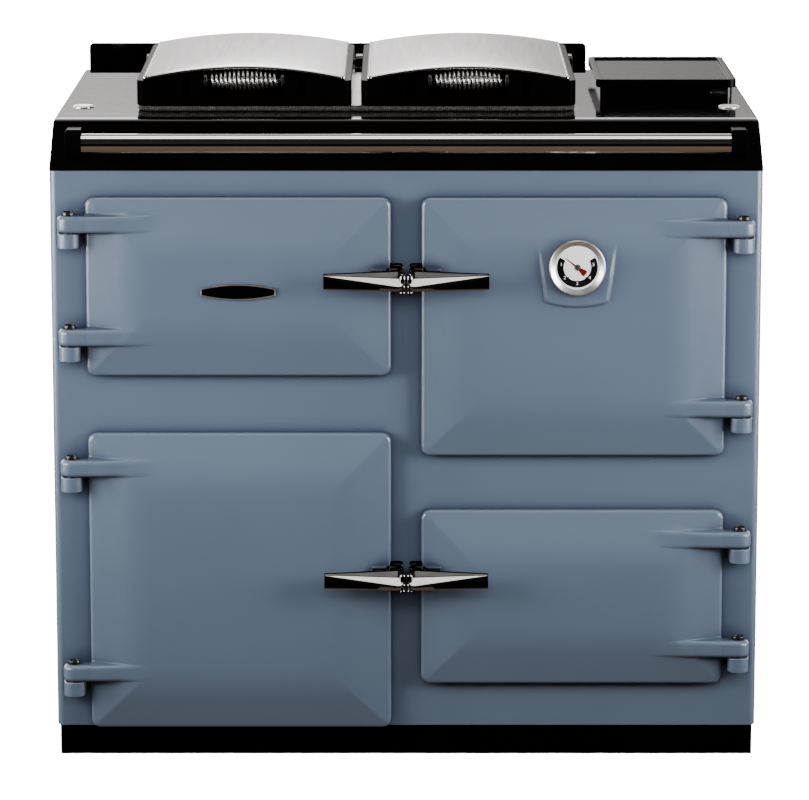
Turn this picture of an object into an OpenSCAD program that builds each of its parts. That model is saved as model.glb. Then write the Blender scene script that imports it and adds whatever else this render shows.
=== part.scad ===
// Cast iron range cooker: four enamelled doors, twin domed hotplate lids, towel rail and rear flue box.
// Millimetres. X runs to the viewer's right, Y runs from the front to the back, Z is up.
// The origin is on the floor, in the middle of the overall footprint.

/* [Body] */
// Overall width over the enamelled front casting
body_w = 988; // [900:1:1100]
// Front casting's face to the outside of the back panel
body_d = 610; // [600:1:660]
// Floor to the hob surface
hob_h = 905; // [895:1:930]
// Height of the black plinth
plinth_h = 42.5; // [30:0.5:60]
// How far the plinth stands in from the front casting's sides
plinth_inset = 4; // [2:0.5:8]
// Thickness of the plinth's steel
plinth_t = 4; // [3:0.5:6]
// Width of the plinth's foot flange
plinth_foot = 40; // [25:1:60]
// Thickness of the front casting
plate_t = 8; // [6:0.5:12]
// Depth of the front casting's side returns
return_d = 32; // [25:1:45]
// Rounding of the front casting's upright edges
edge_r = 10; // [6:1:14]
// Thickness of the steel side, back and base panels
panel_t = 2; // [1.5:0.5:3]
// Step from the front casting's side to the side panel
panel_step = 2; // [1:0.5:4]

/* [Hob] */
// Height of the hob casting's fascia
fascia_h = 70; // [60:1:80]
// How far the fascia's sides flare outward from top to bottom
fascia_flare = 6; // [2:0.5:10]
// How far the fascia's front leans back from bottom to top
fascia_lean = 12; // [4:0.5:14]
// Rounding of the hob's top edge
hob_edge_r = 4; // [2:0.5:6]
// Thickness of the hob casting
hob_t = 8; // [6:0.5:10]
// How far the hotplate's sides stand in from the lids' outer sides
hotplate_in = 13.5; // [10:0.5:18]
// Thickness of the hotplate
hotplate_t = 21; // [18:0.5:26]
// Lids' front to the hotplate's front edge
hotplate_front_in = 9; // [7:0.5:12]
// Hotplate's back edge to the lids' back
hotplate_back_in = 10; // [7:0.5:14]
// How far the hotplate stands above the hob
hotplate_rise = 1; // [0.5:0.5:3]
// Gap between the hotplate and its opening
hotplate_gap = 1.5; // [1:0.5:3]
// Width of the ledge that carries the hotplate
ledge_w = 10; // [6:1:14]
// Width of the rope seal round the hotplate
rope_w = 11; // [8:0.5:13]
// Height of the rope seal round the hotplate
rope_h = 8; // [6:0.5:10]
// Radius of the two blanking plugs in the hob
plug_r = 15; // [10:0.5:20]
// Plugs' distance from the casting's sides
plug_side = 38; // [30:1:44]
// Plugs' distance behind the front face
plug_y = 150; // [130:1:180]

/* [Rear upstand] */
// Height of the rear upstand
upstand_h = 50; // [40:1:60]
// Depth of the rear upstand
upstand_d = 45; // [35:1:50]
// Thickness of the upstand's casting
upstand_t = 5; // [4:0.5:7]
// Gap from the upstand to the flue cover
upstand_gap = 1; // [0.5:0.5:4]

/* [Flue] */
// Width of the flue hatch surround
hatch_w = 189; // [170:1:200]
// Flue hatch surround's back to the back of the hob
hatch_back_in = 89; // [70:1:100]
// Flue hatch surround's right side to the casting's side
hatch_side = 27; // [20:1:34]
// Front face to the flue hatch surround
hatch_front = 237; // [220:1:250]
// Height of the surround above the hob
hatch_h = 17.5; // [12:0.5:25]
// Wall thickness of the surround and flue box
flue_t = 6; // [5:0.5:8]
// How far the flue cover overhangs its surround
cover_lip = 6; // [3:0.5:10]
// Thickness of the flue cover at its rim
cover_t = 12; // [9:0.5:16]
// Width of the flue cover's raised bead
bead_w = 9; // [6:0.5:14]
// Height of the flue cover's raised bead
bead_h = 3; // [1.5:0.5:5]
// Depth of the flue box's upper part below the hob casting
flue_box_h = 100; // [80:1:106]
// Depth of the flue box's rear drop, front to back
drop_d = 138; // [120:1:145]
// Outer radius of the flue spigot
spigot_r = 62.5; // [50:0.5:65]
// Wall of the flue spigot
spigot_t = 4; // [3:0.5:6]
// How far the spigot stands out behind the cooker
spigot_out = 20; // [12:1:50]

/* [Doors] */
// Casting's side to a door's hinge edge
door_side = 50; // [48:1:60]
// Gap between the left and right doors
centre_gap = 42; // [40:1:50]
// Hob casting's foot to the top of the upper left door
top_gap_left = 35.5; // [30:0.5:45]
// Hob casting's foot to the top of the upper right door
top_gap_right = 36; // [30:0.5:45]
// Height of the upper left door
upper_left_h = 251; // [230:0.5:290]
// Height of the upper right door
upper_right_h = 364; // [330:0.5:390]
// Gap between the two left doors
between_left = 80.5; // [60:0.5:100]
// Gap between the two right doors
between_right = 77; // [60:0.5:100]
// Plinth to the bottom of the lower left door
low_gap_left = 0.5; // [0.5:0.5:20]
// Plinth to the bottom of the lower right door
low_gap_right = 64.5; // [40:0.5:90]
// Gap between a door's rim and the front casting
door_gap = 3; // [2:0.5:5]
// Thickness of a door's rim
rim_t = 13; // [11:0.5:16]
// Rounding of a door's front edge
rim_r = 6; // [4:0.5:8]
// Rise of a door's cushioned face above its rim
face_rise = 16; // [10:0.5:20]
// Width of the sloping border round a door's face
slope_w = 70; // [55:1:80]
// Corner radius of the doors
door_corner_r = 9; // [6:0.5:14]
// Width of a door casting's rim behind
rim_w = 12; // [10:0.5:14]
// Width of the ledge that carries the liner
liner_ledge = 8; // [6:0.5:10]
// How far each opening stands in from its door's edge
aperture_in = 26; // [25:0.5:32]
// Corner radius of the openings
aperture_r = 12; // [8:1:18]
// Thickness of a door liner's steel
liner_t = 2; // [1.5:0.5:3]
// Gap round the liner's pan inside its opening
pan_gap = 8; // [6:0.5:12]
// How far the liner's pan reaches into the opening, past the front face
pan_depth = 12; // [8:0.5:16]
// Width of a door's rope seal
seal_w = 9; // [7:0.5:9]
// Thickness of a door's rope seal when pressed
seal_t = 6.7; // [5:0.1:8]

/* [Door hinges] */
// Radius of a hinge pin
pin_r = 6; // [4:0.5:8]
// Radial clearance of the pins in their bores
pin_clear = 0.06; // [0.02:0.01:0.1]
// Hinge pin's distance outside the door's edge
pin_side = 23; // [20:0.5:26]
// Hinge pin's distance in front of the front casting
pin_front = 20; // [18:0.5:24]
// Radius of a door arm's eye
eye_r = 15.5; // [13:0.5:17]
// Radius of a hinge lug
lug_r = 15; // [13:0.5:17]
// Height of a door arm
arm_h = 24; // [18:0.5:30]
// Depth of a door arm, front to back
arm_d = 24; // [18:0.5:24]
// How far an arm runs over the door's face
arm_reach = 60; // [45:1:80]
// Height of a hinge lug
lug_h = 21; // [16:0.5:26]
// Gap between an arm and its lug
arm_gap = 0.8; // [0.4:0.1:2]
// Radius of a hinge pin's head
pin_head_r = 8.5; // [7:0.5:11]
// Thickness of a hinge pin's head
pin_head_h = 5; // [3:0.5:7]

/* [Door handles] */
// Hob casting's foot to the upper pair of handles' pivots
upper_handle_drop = 140; // [125:1:160]
// Lower right door's top to the lower pair of handles' pivots
lower_handle_drop = 85; // [75:1:100]
// Distance of a handle's pivot from the cooker's middle
pivot_x = 13; // [13:0.5:14]
// Radius of a handle's spindle
spindle_r = 5; // [4:0.5:5.5]
// Radial clearance of the spindle in its bracket
spindle_clear = 0.06; // [0.02:0.01:0.1]
// Distance from the cooker's middle to a handle's tip
handle_tip = 114; // [100:1:125]
// Height of a handle's grip
grip_h = 25; // [20:0.5:30]
// Thickness of a handle's grip
grip_t = 14; // [11:0.5:16]
// Length of the neck between a bracket and its grip
neck_len = 9; // [6:0.5:12]
// Grip's centre below its pivot
grip_drop = 5; // [0:0.5:6]
// Front casting's face to the handle bracket's front
bracket_front = 45; // [43:0.5:50]
// Height of a handle bracket's knuckle
bracket_h = 30; // [24:0.5:32]
// Height of a handle bracket's foot
foot_h = 16; // [12:0.5:20]
// Thickness of a handle's latch hook
hook_t = 7.5; // [5:0.5:8]
// Radius of a latch hook's nose
nose_r = 4; // [3:0.5:4.5]
// Pivot's height above the latch hook's nose
nose_drop = 22; // [18:0.5:24]
// Radius of a door catch's roller
roller_r = 3; // [2.5:0.5:3.5]

/* [Towel rail] */
// Radius of the towel rail
rail_r = 14; // [12:0.5:16]
// Front casting's face to the rail's axis
rail_out = 45; // [40:1:55]
// Hob surface to the rail's axis
rail_drop = 27; // [25:0.5:30]
// Cooker's middle to the inner face of a rail bracket
rail_half = 445; // [430:1:450]
// Width of a rail bracket
rail_bracket_w = 22; // [16:1:26]
// Radius of a rail bracket's rounded front
rail_bracket_r = 20; // [17:0.5:22]
// How far the rail goes into each bracket
rail_socket = 6; // [4:0.5:10]

/* [Lids] */
// Casting's left side to the left lid
lid_side = 116.5; // [105:0.5:130]
// Gap between the right lid and the flue cover
lid_to_cover = 34.5; // [20:0.5:45]
// Gap between the two lids
lid_gap = 13; // [12:1:24]
// Front casting's face to the lid's front
lid_front = 97; // [92:1:102]
// Gap between the lids' backs and the upstand
lid_to_upstand = 50; // [45:1:60]
// Height of a lid's casting at its front
lid_h_front = 35; // [30:0.5:40]
// Height of a lid's casting at its back
lid_h_back = 41; // [35:0.5:42]
// Thickness of a lid's casting
lid_t = 6; // [5:0.5:8]
// Corner radius of a lid's casting
lid_corner_r = 12; // [8:1:18]
// How far the polished dome stands in from the casting's sides
dome_in = 9; // [6:0.5:14]
// How far the polished dome stands in from the casting's front
dome_front = 5; // [3:0.5:8]
// Height of the dome's side
dome_side = 4; // [3:0.5:6]
// Rise of the dome from its side to its middle
dome_rise = 14; // [10:0.5:18]
// Thickness of the dome's steel
dome_t = 2; // [1.5:0.5:3]
// Half width of the hand recess in a lid's front
recess_half = 86; // [80:1:95]
// Depth of the hand recess
recess_d = 32; // [28:1:38]
// Height of the hand recess's floor above the lid's foot
recess_floor = 13; // [10:0.5:16]
// Radius of a lid's hinge rod
rod_r = 5; // [4:0.5:6]
// Radial clearance of the hinge rod
rod_clear = 0.06; // [0.02:0.01:0.1]
// Lid hinge axis to the front of the upstand
lid_axis_gap = 23; // [22:0.5:24]
// Hob surface to the lid hinge axis
lid_axis_z = 20; // [19:0.5:21]
// Radius of a lid's hinge eyes
lid_eye_r = 10; // [8:0.5:11]
// Width of a lid's hinge eyes
lid_eye_w = 26; // [16:1:36]
// Width of the upstand's hinge lugs
lid_lug_w = 11; // [8:0.5:11]

/* [Coil handles] */
// Thickness of the coil's wire
wire_d = 3.6; // [3:0.1:4]
// Length of the coil
coil_len = 103; // [90:1:108]
// Number of turns
coil_turns = 15; // [10:1:17]
// Outer radius of the coil at its ends
coil_end_r = 9; // [8:0.5:10]
// Outer radius of the coil at its middle
coil_mid_r = 14; // [11:0.5:14.5]
// Radius of the ferrule at each end of the coil
ferrule_r = 9; // [8:0.5:10]
// Length of each ferrule
ferrule_len = 5; // [3:0.5:7]
// Width of the lugs that hold the coil
coil_lug_w = 17; // [12:1:20]
// Coil's axis above the hob
coil_z = 43; // [42:0.5:44]
// Coil's axis behind the lid's front
coil_in = 7; // [6:0.5:10]

/* [Thermometer] */
// Radius of the thermometer's bezel
bezel_r = 39; // [36:0.5:42]
// Radius of the thermometer's glass
glass_r = 31.5; // [30:0.5:33]
// Thickness of the glass
glass_t = 2; // [1.5:0.5:3]
// Hob casting's foot to the thermometer's middle
gauge_drop = 129.5; // [115:0.5:145]
// Bezel's height in front of its seat
bezel_out = 9; // [8:0.5:12]
// Depth of the case behind its seat
case_d = 12; // [10:0.5:14]
// Length of the pointer from its hub to its tip
pointer_len = 22; // [18:0.5:26]
// Angle of the pointer at rest, left of upright
pointer_rest = 51.5; // [40:0.5:70]
// Radius of the temperature probe
probe_r = 4; // [3:0.5:5]

/* [Badge] */
// Width of the plain badge plate
badge_w = 104; // [80:1:120]
// Height of the badge plate
badge_h = 22.5; // [18:0.5:28]
// Height of the badge plate's ends
badge_end = 10; // [6:0.5:14]
// Thickness of the badge plate
badge_t = 3; // [2:0.5:4]

/* [Ovens] */
// Gap between the ovens' backs and the flue's rear drop
oven_to_flue = 18; // [8:1:40]
// Thickness of the oven castings
oven_t = 6; // [5:0.5:8]
// Width of the flange round each oven's mouth
oven_flange = 12; // [9:0.5:14]
// How far the shelf runners stand out from an oven's walls
runner_out = 12; // [8:0.5:16]
// Thickness of the shelf runners
runner_t = 5; // [4:0.5:8]
// Radius of a shelf's frame rod
shelf_rod = 3; // [2.5:0.5:4]
// Radius of a shelf's cross wires
shelf_wire = 2; // [1.5:0.5:2.5]
// Number of wires across a shelf
shelf_wires = 13; // [7:1:17]
// How much shorter a shelf is than its oven
shelf_short = 50; // [44:1:90]

/* [Boiler and burner] */
// Thickness of the boiler's steel
boiler_t = 5; // [4:0.5:8]
// Thickness of the boiler's water space
water_t = 20; // [12:1:21]
// Inside depth of the combustion chamber
chamber_d = 462; // [430:1:480]
// Radius of the pipe tappings
tapping_r = 16.6; // [13:0.1:17]
// Depth of the tappings' thread
tapping_len = 25; // [18:1:30]
// Outer radius of the pipe stubs
stub_r = 21; // [20.5:0.5:24]
// Radius of the burner's blast tube
blast_r = 42; // [35:1:50]
// Burner's distance behind the front face
burner_y = 250; // [230:1:280]
// Radius of the burner's fan housing
fan_r = 72; // [60:1:80]
// Width of the burner's fan housing
fan_w = 70; // [55:1:90]
// Radius of the burner's motor
motor_r = 46; // [38:1:54]
// Length of the burner's motor
motor_len = 85; // [70:1:100]
// Radius of the thermostat knob
knob_r = 18; // [14:0.5:22]
// Length of the thermostat knob
knob_len = 16; // [12:0.5:20]
// Radius of the cable hole in the back panel
cable_r = 10; // [6:0.5:14]

/* [Hidden] */

// Colours of the finishes
enamel_blue = [0.36, 0.43, 0.50];
enamel_black = [0.03, 0.03, 0.035];
polished = [0.80, 0.79, 0.78];
dark_chrome = [0.14, 0.14, 0.15];
bare_iron = [0.38, 0.37, 0.36];
rope_grey = [0.45, 0.43, 0.40];
zinc = [0.62, 0.64, 0.66];

// Fits and margins
seat = 0.3;      // gap between a piece and what it rests on
eps = 0.5;       // overlap of two shapes that are fused into one casting
through = 2;     // overrun of a cut past the face that it opens
arc_n = 6;       // steps in a quarter round of an outline

// Shared places, all measured behind the front casting's face
half_w = body_w / 2;
casting_bottom = plinth_h;
casting_top = hob_h - fascia_h;
side_x = half_w - panel_step;                 // outside of the side panels
hob_half = half_w - fascia_flare;             // hob's half width at its top edge
hob_back = body_d;
panel_top = casting_top;
back_y = body_d - panel_t;
upstand_y = body_d - upstand_d;
door_in = centre_gap / 2;                     // latch edge, from the cooker's middle
door_out = half_w - door_side;                // hinge edge
door_w = door_out - door_in;
pin_x = door_out + pin_side;
face_y = -(door_gap + rim_t + face_rise);     // a door's flat face
pad_rise = 9;                                 // handle seat's rise above the door's rim
pad_y = -(door_gap + rim_t + pad_rise);       // seat of a handle bracket
pad_in = 28;                                  // handle seat's inner edge, from the cooker's middle
pad_out = 48;                                 // handle seat's outer edge
pad_d = 10;                                   // depth of the metal behind a handle's seat
seat_cut = 1;                                 // margin of the flat round a handle's seat
grip_front = bracket_front + neck_len + grip_t;      // front-most point of a handle
front_reach = max(grip_front, rail_out + rail_r);
back_reach = body_d + spigot_out;
yf = (front_reach - back_reach) / 2;          // front casting's face in the model's frame

// Each door: side (-1 left, 1 right), bottom, height, its arms' heights, its handle's height
function door_row(side, z0, z1, inset, handle_z) =
    [side, z0, z1 - z0, [z1 - inset[0], z0 + inset[1]], handle_z];
upper_handle_z = casting_top - upper_handle_drop;
UL = door_row(-1, casting_top - top_gap_left - upper_left_h, casting_top - top_gap_left, [36, 56.5],
    upper_handle_z);
UR = door_row(1, casting_top - top_gap_right - upper_right_h, casting_top - top_gap_right, [42, 69.5],
    upper_handle_z);
lower_handle_z = UR[1] - between_right - lower_handle_drop;
LL = door_row(-1, plinth_h + low_gap_left, UL[1] - between_left, [48, 83], lower_handle_z);
LR = door_row(1, plinth_h + low_gap_right, UR[1] - between_right, [40, 54], lower_handle_z);
DOORS = [UL, UR, LL, LR];

// Openings, from their doors
open_in = door_in + aperture_in;              // inner edge, from the cooker's middle
open_out = door_out - aperture_in;            // outer edge
function open_bottom(row) = row[1] + aperture_in;
function open_top(row) = row[1] + row[2] - aperture_in;

// Flue
hatch_right = half_w - hatch_side;
hatch_left = hatch_right - hatch_w;
hatch_back = body_d - hatch_back_in;
flue_x = (hatch_left + hatch_right) / 2;
box_in = 10;                                  // flue box's margin inside the hatch surround
box_front = hatch_front + box_in;
box_half = hatch_w / 2 - box_in;
box_top = hob_h - hob_t - seat;
box_bottom = box_top - flue_box_h;
back_margin = 8;                              // flue parts' margin to the back panel and the hob's foot
box_back = back_y - back_margin;
drop_front = box_back - drop_d;
oven_d = drop_front - oven_to_flue - oven_t - plate_t;     // inside depth of both ovens
flue_z = casting_top - spigot_r - back_margin;
drop_bottom = flue_z - spigot_r - flue_t;
cover_bottom = hob_h + hatch_h + seat;
upstand_right = hatch_left - cover_lip - upstand_gap;
upstand_left = -hob_half + 2;

// Hotplate and lids
lid_left = -half_w + lid_side;
lid_right = hatch_left - cover_lip - lid_to_cover;
lid_w = (lid_right - lid_left - lid_gap) / 2;
lid_d = upstand_y - lid_to_upstand - lid_front;
lid_axis_y = upstand_y - lid_axis_gap;
hotplate_x = (lid_left + lid_right) / 2;
hotplate_w = lid_right - lid_left - 2 * hotplate_in;
hotplate_front = lid_front + hotplate_front_in;
hotplate_back = lid_front + lid_d - hotplate_back_in;
plug_x = half_w - plug_side;
rope_x = (lid_w * 2 + lid_gap) / 2 - lid_t;   // rope's centre line, from the hotplate's middle
rope_out = 4.5;                               // rope's outer half, where it stands proud of the lid's front
rope_front = lid_front + rope_w / 2 - rope_out;
rope_back = lid_front + lid_d - lid_t / 2;
lid_foot = hob_h + rope_h + seat;
lid_back = lid_front + lid_d;
lid_slope = atan((lid_h_back - lid_h_front) / lid_d);
lid_shift = (lid_w + lid_gap) / 2;
dome_half = lid_w / 2 - dome_in;
dome_len = lid_d - dome_front * 2;
axis_z = hob_h + lid_axis_z;
lug_inner = coil_len / 2 + ferrule_len + seat;
coil_y = lid_front + coil_in;

// Boiler
boiler_wall = boiler_t * 2 + water_t;
boiler_back = plate_t + chamber_d + boiler_wall;
socket_in = 73;                               // pipe sockets' distance in from the chamber's sides
flow_at = [-(open_in + socket_in), open_top(UL) - 28];
return_at = [-(open_out - socket_in), open_bottom(UL) + 30];
burner_x = -(open_in + open_out) / 2;

// ---------- Outlines ----------
function arc(cx, cy, r, a0, a1, n) =
    [for (i = [0:n]) let (a = a0 + (a1 - a0) * i / n) [cx + r * cos(a), cy + r * sin(a)]];
function round_rect(x0, y0, x1, y1, r, n = arc_n) = concat(
    arc(x1 - r, y1 - r, r, 0, 90, n), arc(x0 + r, y1 - r, r, 90, 180, n),
    arc(x0 + r, y0 + r, r, 180, 270, n), arc(x1 - r, y0 + r, r, 270, 360, n));

// Thickness of a door's cushioned face at a distance in from its edge
function cushion(d) =
    d < rim_r ? rim_t - rim_r + sqrt(max(0, rim_r * rim_r - pow(rim_r - d, 2)))
    : d < slope_w ? rim_t + face_rise * (1 - pow(1 - (d - rim_r) / (slope_w - rim_r), 2))
    : rim_t + face_rise;
cushion_steps = concat([for (i = [0:4]) rim_r * (1 - cos(i * 22.5))],
    [for (i = [1:7]) rim_r + (slope_w - rim_r) * i / 7]);
function cushion_outline(span) = concat(
    [[0, 0]],
    [for (d = cushion_steps) [d, cushion(d)]],
    [for (i = [len(cushion_steps) - 1:-1:0]) [span - cushion_steps[i], cushion(cushion_steps[i])]],
    [[span, 0]]);

// ---------- Frames for drawing ----------
// Extrudes an outline drawn in X and Z from y0 back to y1
module along_y(y0, y1) translate([0, y1, 0]) rotate([90, 0, 0]) linear_extrude(y1 - y0) children();
// Extrudes an outline drawn in Y and Z from x0 to x1
module along_x(x0, x1) translate([x0, 0, 0]) rotate([90, 0, 90]) linear_extrude(x1 - x0) children();
// A block between two corners
module block(a, b) translate(a) cube(b - a);
// A round bar along Y
module bar_y(x, z, r, y0, y1) translate([x, y1, z]) rotate([90, 0, 0]) cylinder(r = r, h = y1 - y0, $fn = 64);
// A round bar along X
module bar_x(y, z, r, x0, x1) translate([x0, y, z]) rotate([0, 90, 0]) cylinder(r = r, h = x1 - x0, $fn = 64);
// Doors are drawn on the left and mirrored to the right
module on_side(side) if (side < 0) children(); else mirror([1, 0, 0]) children();
// Lids are drawn about their own middle
module at_lid(side) translate([hotplate_x + side * lid_shift, 0, 0]) children();
module placed() translate([0, yf, 0]) children();

// ---------- Plinth and carcase ----------
plinth_front = plinth_inset;
plinth_back = body_d - plinth_inset;
plinth_half = half_w - plinth_inset;
top_flange = 20;

module frame_ring(half, y0, y1, z0, z1, wall) {
    difference() {
        block([-half, y0, z0], [half, y1, z1]);
        block([-half + wall, y0 + wall, z0 - through], [half - wall, y1 - wall, z1 + through]);
    }
}

module plinth() {
    color(enamel_black) placed() {
        frame_ring(plinth_half, plinth_front, plinth_back, 0, plinth_h, plinth_t);
        frame_ring(plinth_half, plinth_front, plinth_back, 0, plinth_t, plinth_foot);
        frame_ring(plinth_half, plinth_front, plinth_back, plinth_h - plinth_t, plinth_h, top_flange);
    }
}

module base_plate() {
    color(zinc) placed()
        block([-side_x + panel_t, return_d + seat, plinth_h], [side_x - panel_t, back_y, plinth_h + panel_t]);
}

back_flange = 14;                             // side panels' flange behind
side_flange = 10;                             // side panels' flange at the top
module side_panel(side) {
    color(enamel_blue) placed() on_side(side) {
        block([-side_x, return_d, casting_bottom], [-side_x + panel_t, body_d, panel_top]);
        block([-side_x, back_y - panel_t, casting_bottom + panel_t],
            [-side_x + panel_t + back_flange, back_y, panel_top - 2 * panel_t]);
        block([-side_x, return_d, panel_top - panel_t],
            [-side_x + panel_t + side_flange, back_y - panel_t, panel_top]);
    }
}
module left_side_panel() side_panel(-1);
module right_side_panel() side_panel(1);

vent_x = side_x - 272;                        // middle of each bank of vents, from the cooker's middle
vent_half = 60;                               // half a vent's width
vent_h = 6;
vent_rows = 5;
vent_pitch = 16;
vent_z = 110;
cable_at = [-plug_x + 60, 150];
hole_gap = 2;                                 // gap round the pipes that pass the back panel

module back_panel() {
    color(zinc) placed() difference() {
        block([-side_x + panel_t, back_y, casting_bottom], [side_x - panel_t, body_d, panel_top]);
        bar_y(flue_x, flue_z, spigot_r + hole_gap - eps, back_y - through, body_d + through);
        bar_y(flow_at[0], flow_at[1], stub_r + hole_gap, back_y - through, body_d + through);
        bar_y(return_at[0], return_at[1], stub_r + hole_gap, back_y - through, body_d + through);
        bar_y(cable_at[0], cable_at[1], cable_r, back_y - through, body_d + through);
        for (x = [-vent_x, vent_x], row = [0:vent_rows - 1])
            block([x - vent_half, back_y - through, vent_z + row * vent_pitch],
                [x + vent_half, body_d + through, vent_z + row * vent_pitch + vent_h]);
    }
}

// ---------- Front casting ----------
lug_drop = arm_h / 2 + arm_gap;
function lug_outline() = concat(
    [[-pin_x + lug_r, eps]],
    arc(-pin_x, -pin_front, lug_r, 0, -180, 12),
    [[-pin_x - lug_r, eps]]);

module hinge_lugs(row) {
    on_side(row[0]) for (z = row[3])
        translate([0, 0, z - lug_drop - lug_h]) linear_extrude(lug_h) polygon(lug_outline());
}
module pin_bores(row, r) {
    on_side(row[0]) for (z = row[3])
        translate([-pin_x, -pin_front, z - lug_drop - lug_h - through])
            cylinder(r = r, h = lug_h + arm_h + arm_gap + 2 * through, $fn = 64);
}
module opening_cut(row) {
    on_side(row[0]) along_y(-through, plate_t + through)
        polygon(round_rect(-open_out, open_bottom(row), -open_in, open_top(row), aperture_r));
}

function plate_outline() = concat(
    [[half_w, return_d], [half_w - plate_t, return_d], [half_w - plate_t, plate_t],
     [-half_w + plate_t, plate_t], [-half_w + plate_t, return_d], [-half_w, return_d]],
    arc(-half_w + edge_r, edge_r, edge_r, 180, 270, arc_n),
    arc(half_w - edge_r, edge_r, edge_r, 270, 360, arc_n));

module front_plate() {
    color(enamel_blue) placed() difference() {
        union() {
            translate([0, 0, casting_bottom]) linear_extrude(casting_top - casting_bottom)
                polygon(plate_outline());
            for (row = DOORS) hinge_lugs(row);
        }
        for (row = DOORS) opening_cut(row);
        for (row = DOORS) pin_bores(row, pin_r + pin_clear);
    }
}

// The doors' eight pins and the lids' two rods
module hinge_pins() {
    reach = lid_gap / 2 + lid_w + lid_gap / 2 + lid_lug_w / 2;
    color(dark_chrome) placed() {
        for (row = DOORS) on_side(row[0]) for (z = row[3]) translate([-pin_x, -pin_front, 0]) {
            translate([0, 0, z - lug_drop - lug_h])
                cylinder(r = pin_r, h = lug_h + arm_gap + arm_h + eps, $fn = 64);
            translate([0, 0, z + arm_h / 2 + seat]) cylinder(r = pin_head_r, h = pin_head_h, $fn = 64);
        }
        for (side = [-1, 1]) bar_x(lid_axis_y, axis_z, rod_r, hotplate_x + min(side * seat, side * reach),
            hotplate_x + max(side * seat, side * reach));
    }
}

// ---------- Hob ----------
function fascia_y(z) = fascia_lean * (z - casting_top) / fascia_h;
function edge_arc(y) = arc(y + hob_edge_r, hob_h - hob_edge_r, hob_edge_r, 180, 90, 4);
function hob_side_outline(d, back) = concat(
    [[d, casting_top], [fascia_y(hob_h - hob_edge_r) + d, hob_h - hob_edge_r - d]],
    d > 0 ? [[fascia_y(hob_h - hob_edge_r) + d, hob_h - hob_t]] : edge_arc(fascia_y(hob_h)),
    d > 0 ? [[back, hob_h - hob_t]] : [[back, hob_h]],
    [[back, casting_top]]);
function hob_front_outline() = concat(
    [[-half_w, casting_top]],
    arc(-hob_half + hob_edge_r, hob_h - hob_edge_r, hob_edge_r, 180, 90, 4),
    arc(hob_half - hob_edge_r, hob_h - hob_edge_r, hob_edge_r, 90, 0, 4),
    [[half_w, casting_top]]);

well_half = hotplate_w / 2 + hotplate_gap;
hotplate_z = hob_h + hotplate_rise - hotplate_t;
well_wall = 6;
ledge_t = 5;

module top_plate() {
    color(enamel_black) placed() difference() {
        union() {
            difference() {
                intersection() {
                    along_x(-half_w, half_w) polygon(hob_side_outline(0, hob_back));
                    along_y(0, hob_back) polygon(hob_front_outline());
                }
                block([-hob_half + hob_t, fascia_lean + hob_t, casting_top - through],
                    [hob_half - hob_t, hob_back - hob_t, hob_h - hob_t]);
            }
            block([hotplate_x - well_half - well_wall, hotplate_front - hotplate_gap - well_wall,
                    hotplate_z - ledge_t],
                [hotplate_x + well_half + well_wall, hotplate_back + hotplate_gap + well_wall,
                    hob_h - hob_t]);
            hatch_surround(hob_h - eps, hob_h + hatch_h);
        }
        block([hotplate_x - well_half, hotplate_front - hotplate_gap, hotplate_z],
            [hotplate_x + well_half, hotplate_back + hotplate_gap, hob_h + through]);
        block([hotplate_x - hotplate_w / 2 + ledge_w, hotplate_front + ledge_w,
                hotplate_z - ledge_t - through],
            [hotplate_x + hotplate_w / 2 - ledge_w, hotplate_back - ledge_w, hotplate_z + through]);
        block([flue_x - box_half + flue_t, box_front + flue_t, hob_h - hob_t - through],
            [flue_x + box_half - flue_t, hatch_back - box_in - flue_t, hob_h + hatch_h + through]);
        for (side = [-1, 1]) translate([side * plug_x, plug_y, hob_h - hob_t - through])
            cylinder(r = plug_r - plug_lip, h = hob_t + 2 * through, $fn = 48);
    }
}
hatch_r = 8;                                  // corner radius of the flue hatch's surround
module hatch_surround(z0, z1) {
    translate([0, 0, z0]) linear_extrude(z1 - z0)
        polygon(round_rect(hatch_left, hatch_front, hatch_right, hatch_back, hatch_r));
}

plug_lip = 3;                                 // how far a plug's head overlaps its hole
plug_rise = 2.4;                              // height of a plug's head
module hob_plugs() {
    color(enamel_black) placed() for (side = [-1, 1]) translate([side * plug_x, plug_y, 0]) {
        translate([0, 0, hob_h]) rotate_extrude($fn = 48)
            polygon([[0, 0], [plug_r, 0], [plug_r, 1], [plug_r - 2, plug_rise], [0, plug_rise]]);
        translate([0, 0, hob_h - hob_t - 4])
            cylinder(r = plug_r - plug_lip - seat, h = hob_t + 4, $fn = 48);
    }
}

module rear_upstand() {
    r = 7;                                    // rounding of its top corners
    lug_half = lid_lug_w / 2;
    outer_lug = lid_gap / 2 + lid_w + (lid_gap - lid_lug_w) / 2 + lug_half;
    color(enamel_black) placed() {
        difference() {
            union() {
                along_y(upstand_y, body_d) polygon(concat(
                    [[upstand_left, hob_h], [upstand_right, hob_h]],
                    arc(upstand_right - r, hob_h + upstand_h - r, r, 0, 90, 5),
                    arc(upstand_left + r, hob_h + upstand_h - r, r, 90, 180, 5)));
                for (side = [-1:1]) let (x = hotplate_x + side * outer_lug) along_x(x - lug_half, x + lug_half)
                    polygon(concat([[upstand_y + eps, axis_z - lid_eye_r + 1]],
                        arc(lid_axis_y, axis_z, lid_eye_r - 1, 270, 90, 12),
                        [[upstand_y + eps, axis_z + lid_eye_r - 1]]));
            }
            block([upstand_left + upstand_t, upstand_y + upstand_t, hob_h - through],
                [upstand_right - upstand_t, body_d - upstand_t, hob_h + upstand_h - upstand_t]);
            bar_x(lid_axis_y, axis_z, rod_r + rod_clear, hotplate_x - outer_lug - lid_lug_w,
                hotplate_x + outer_lug + lid_lug_w);
        }
    }
}

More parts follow.
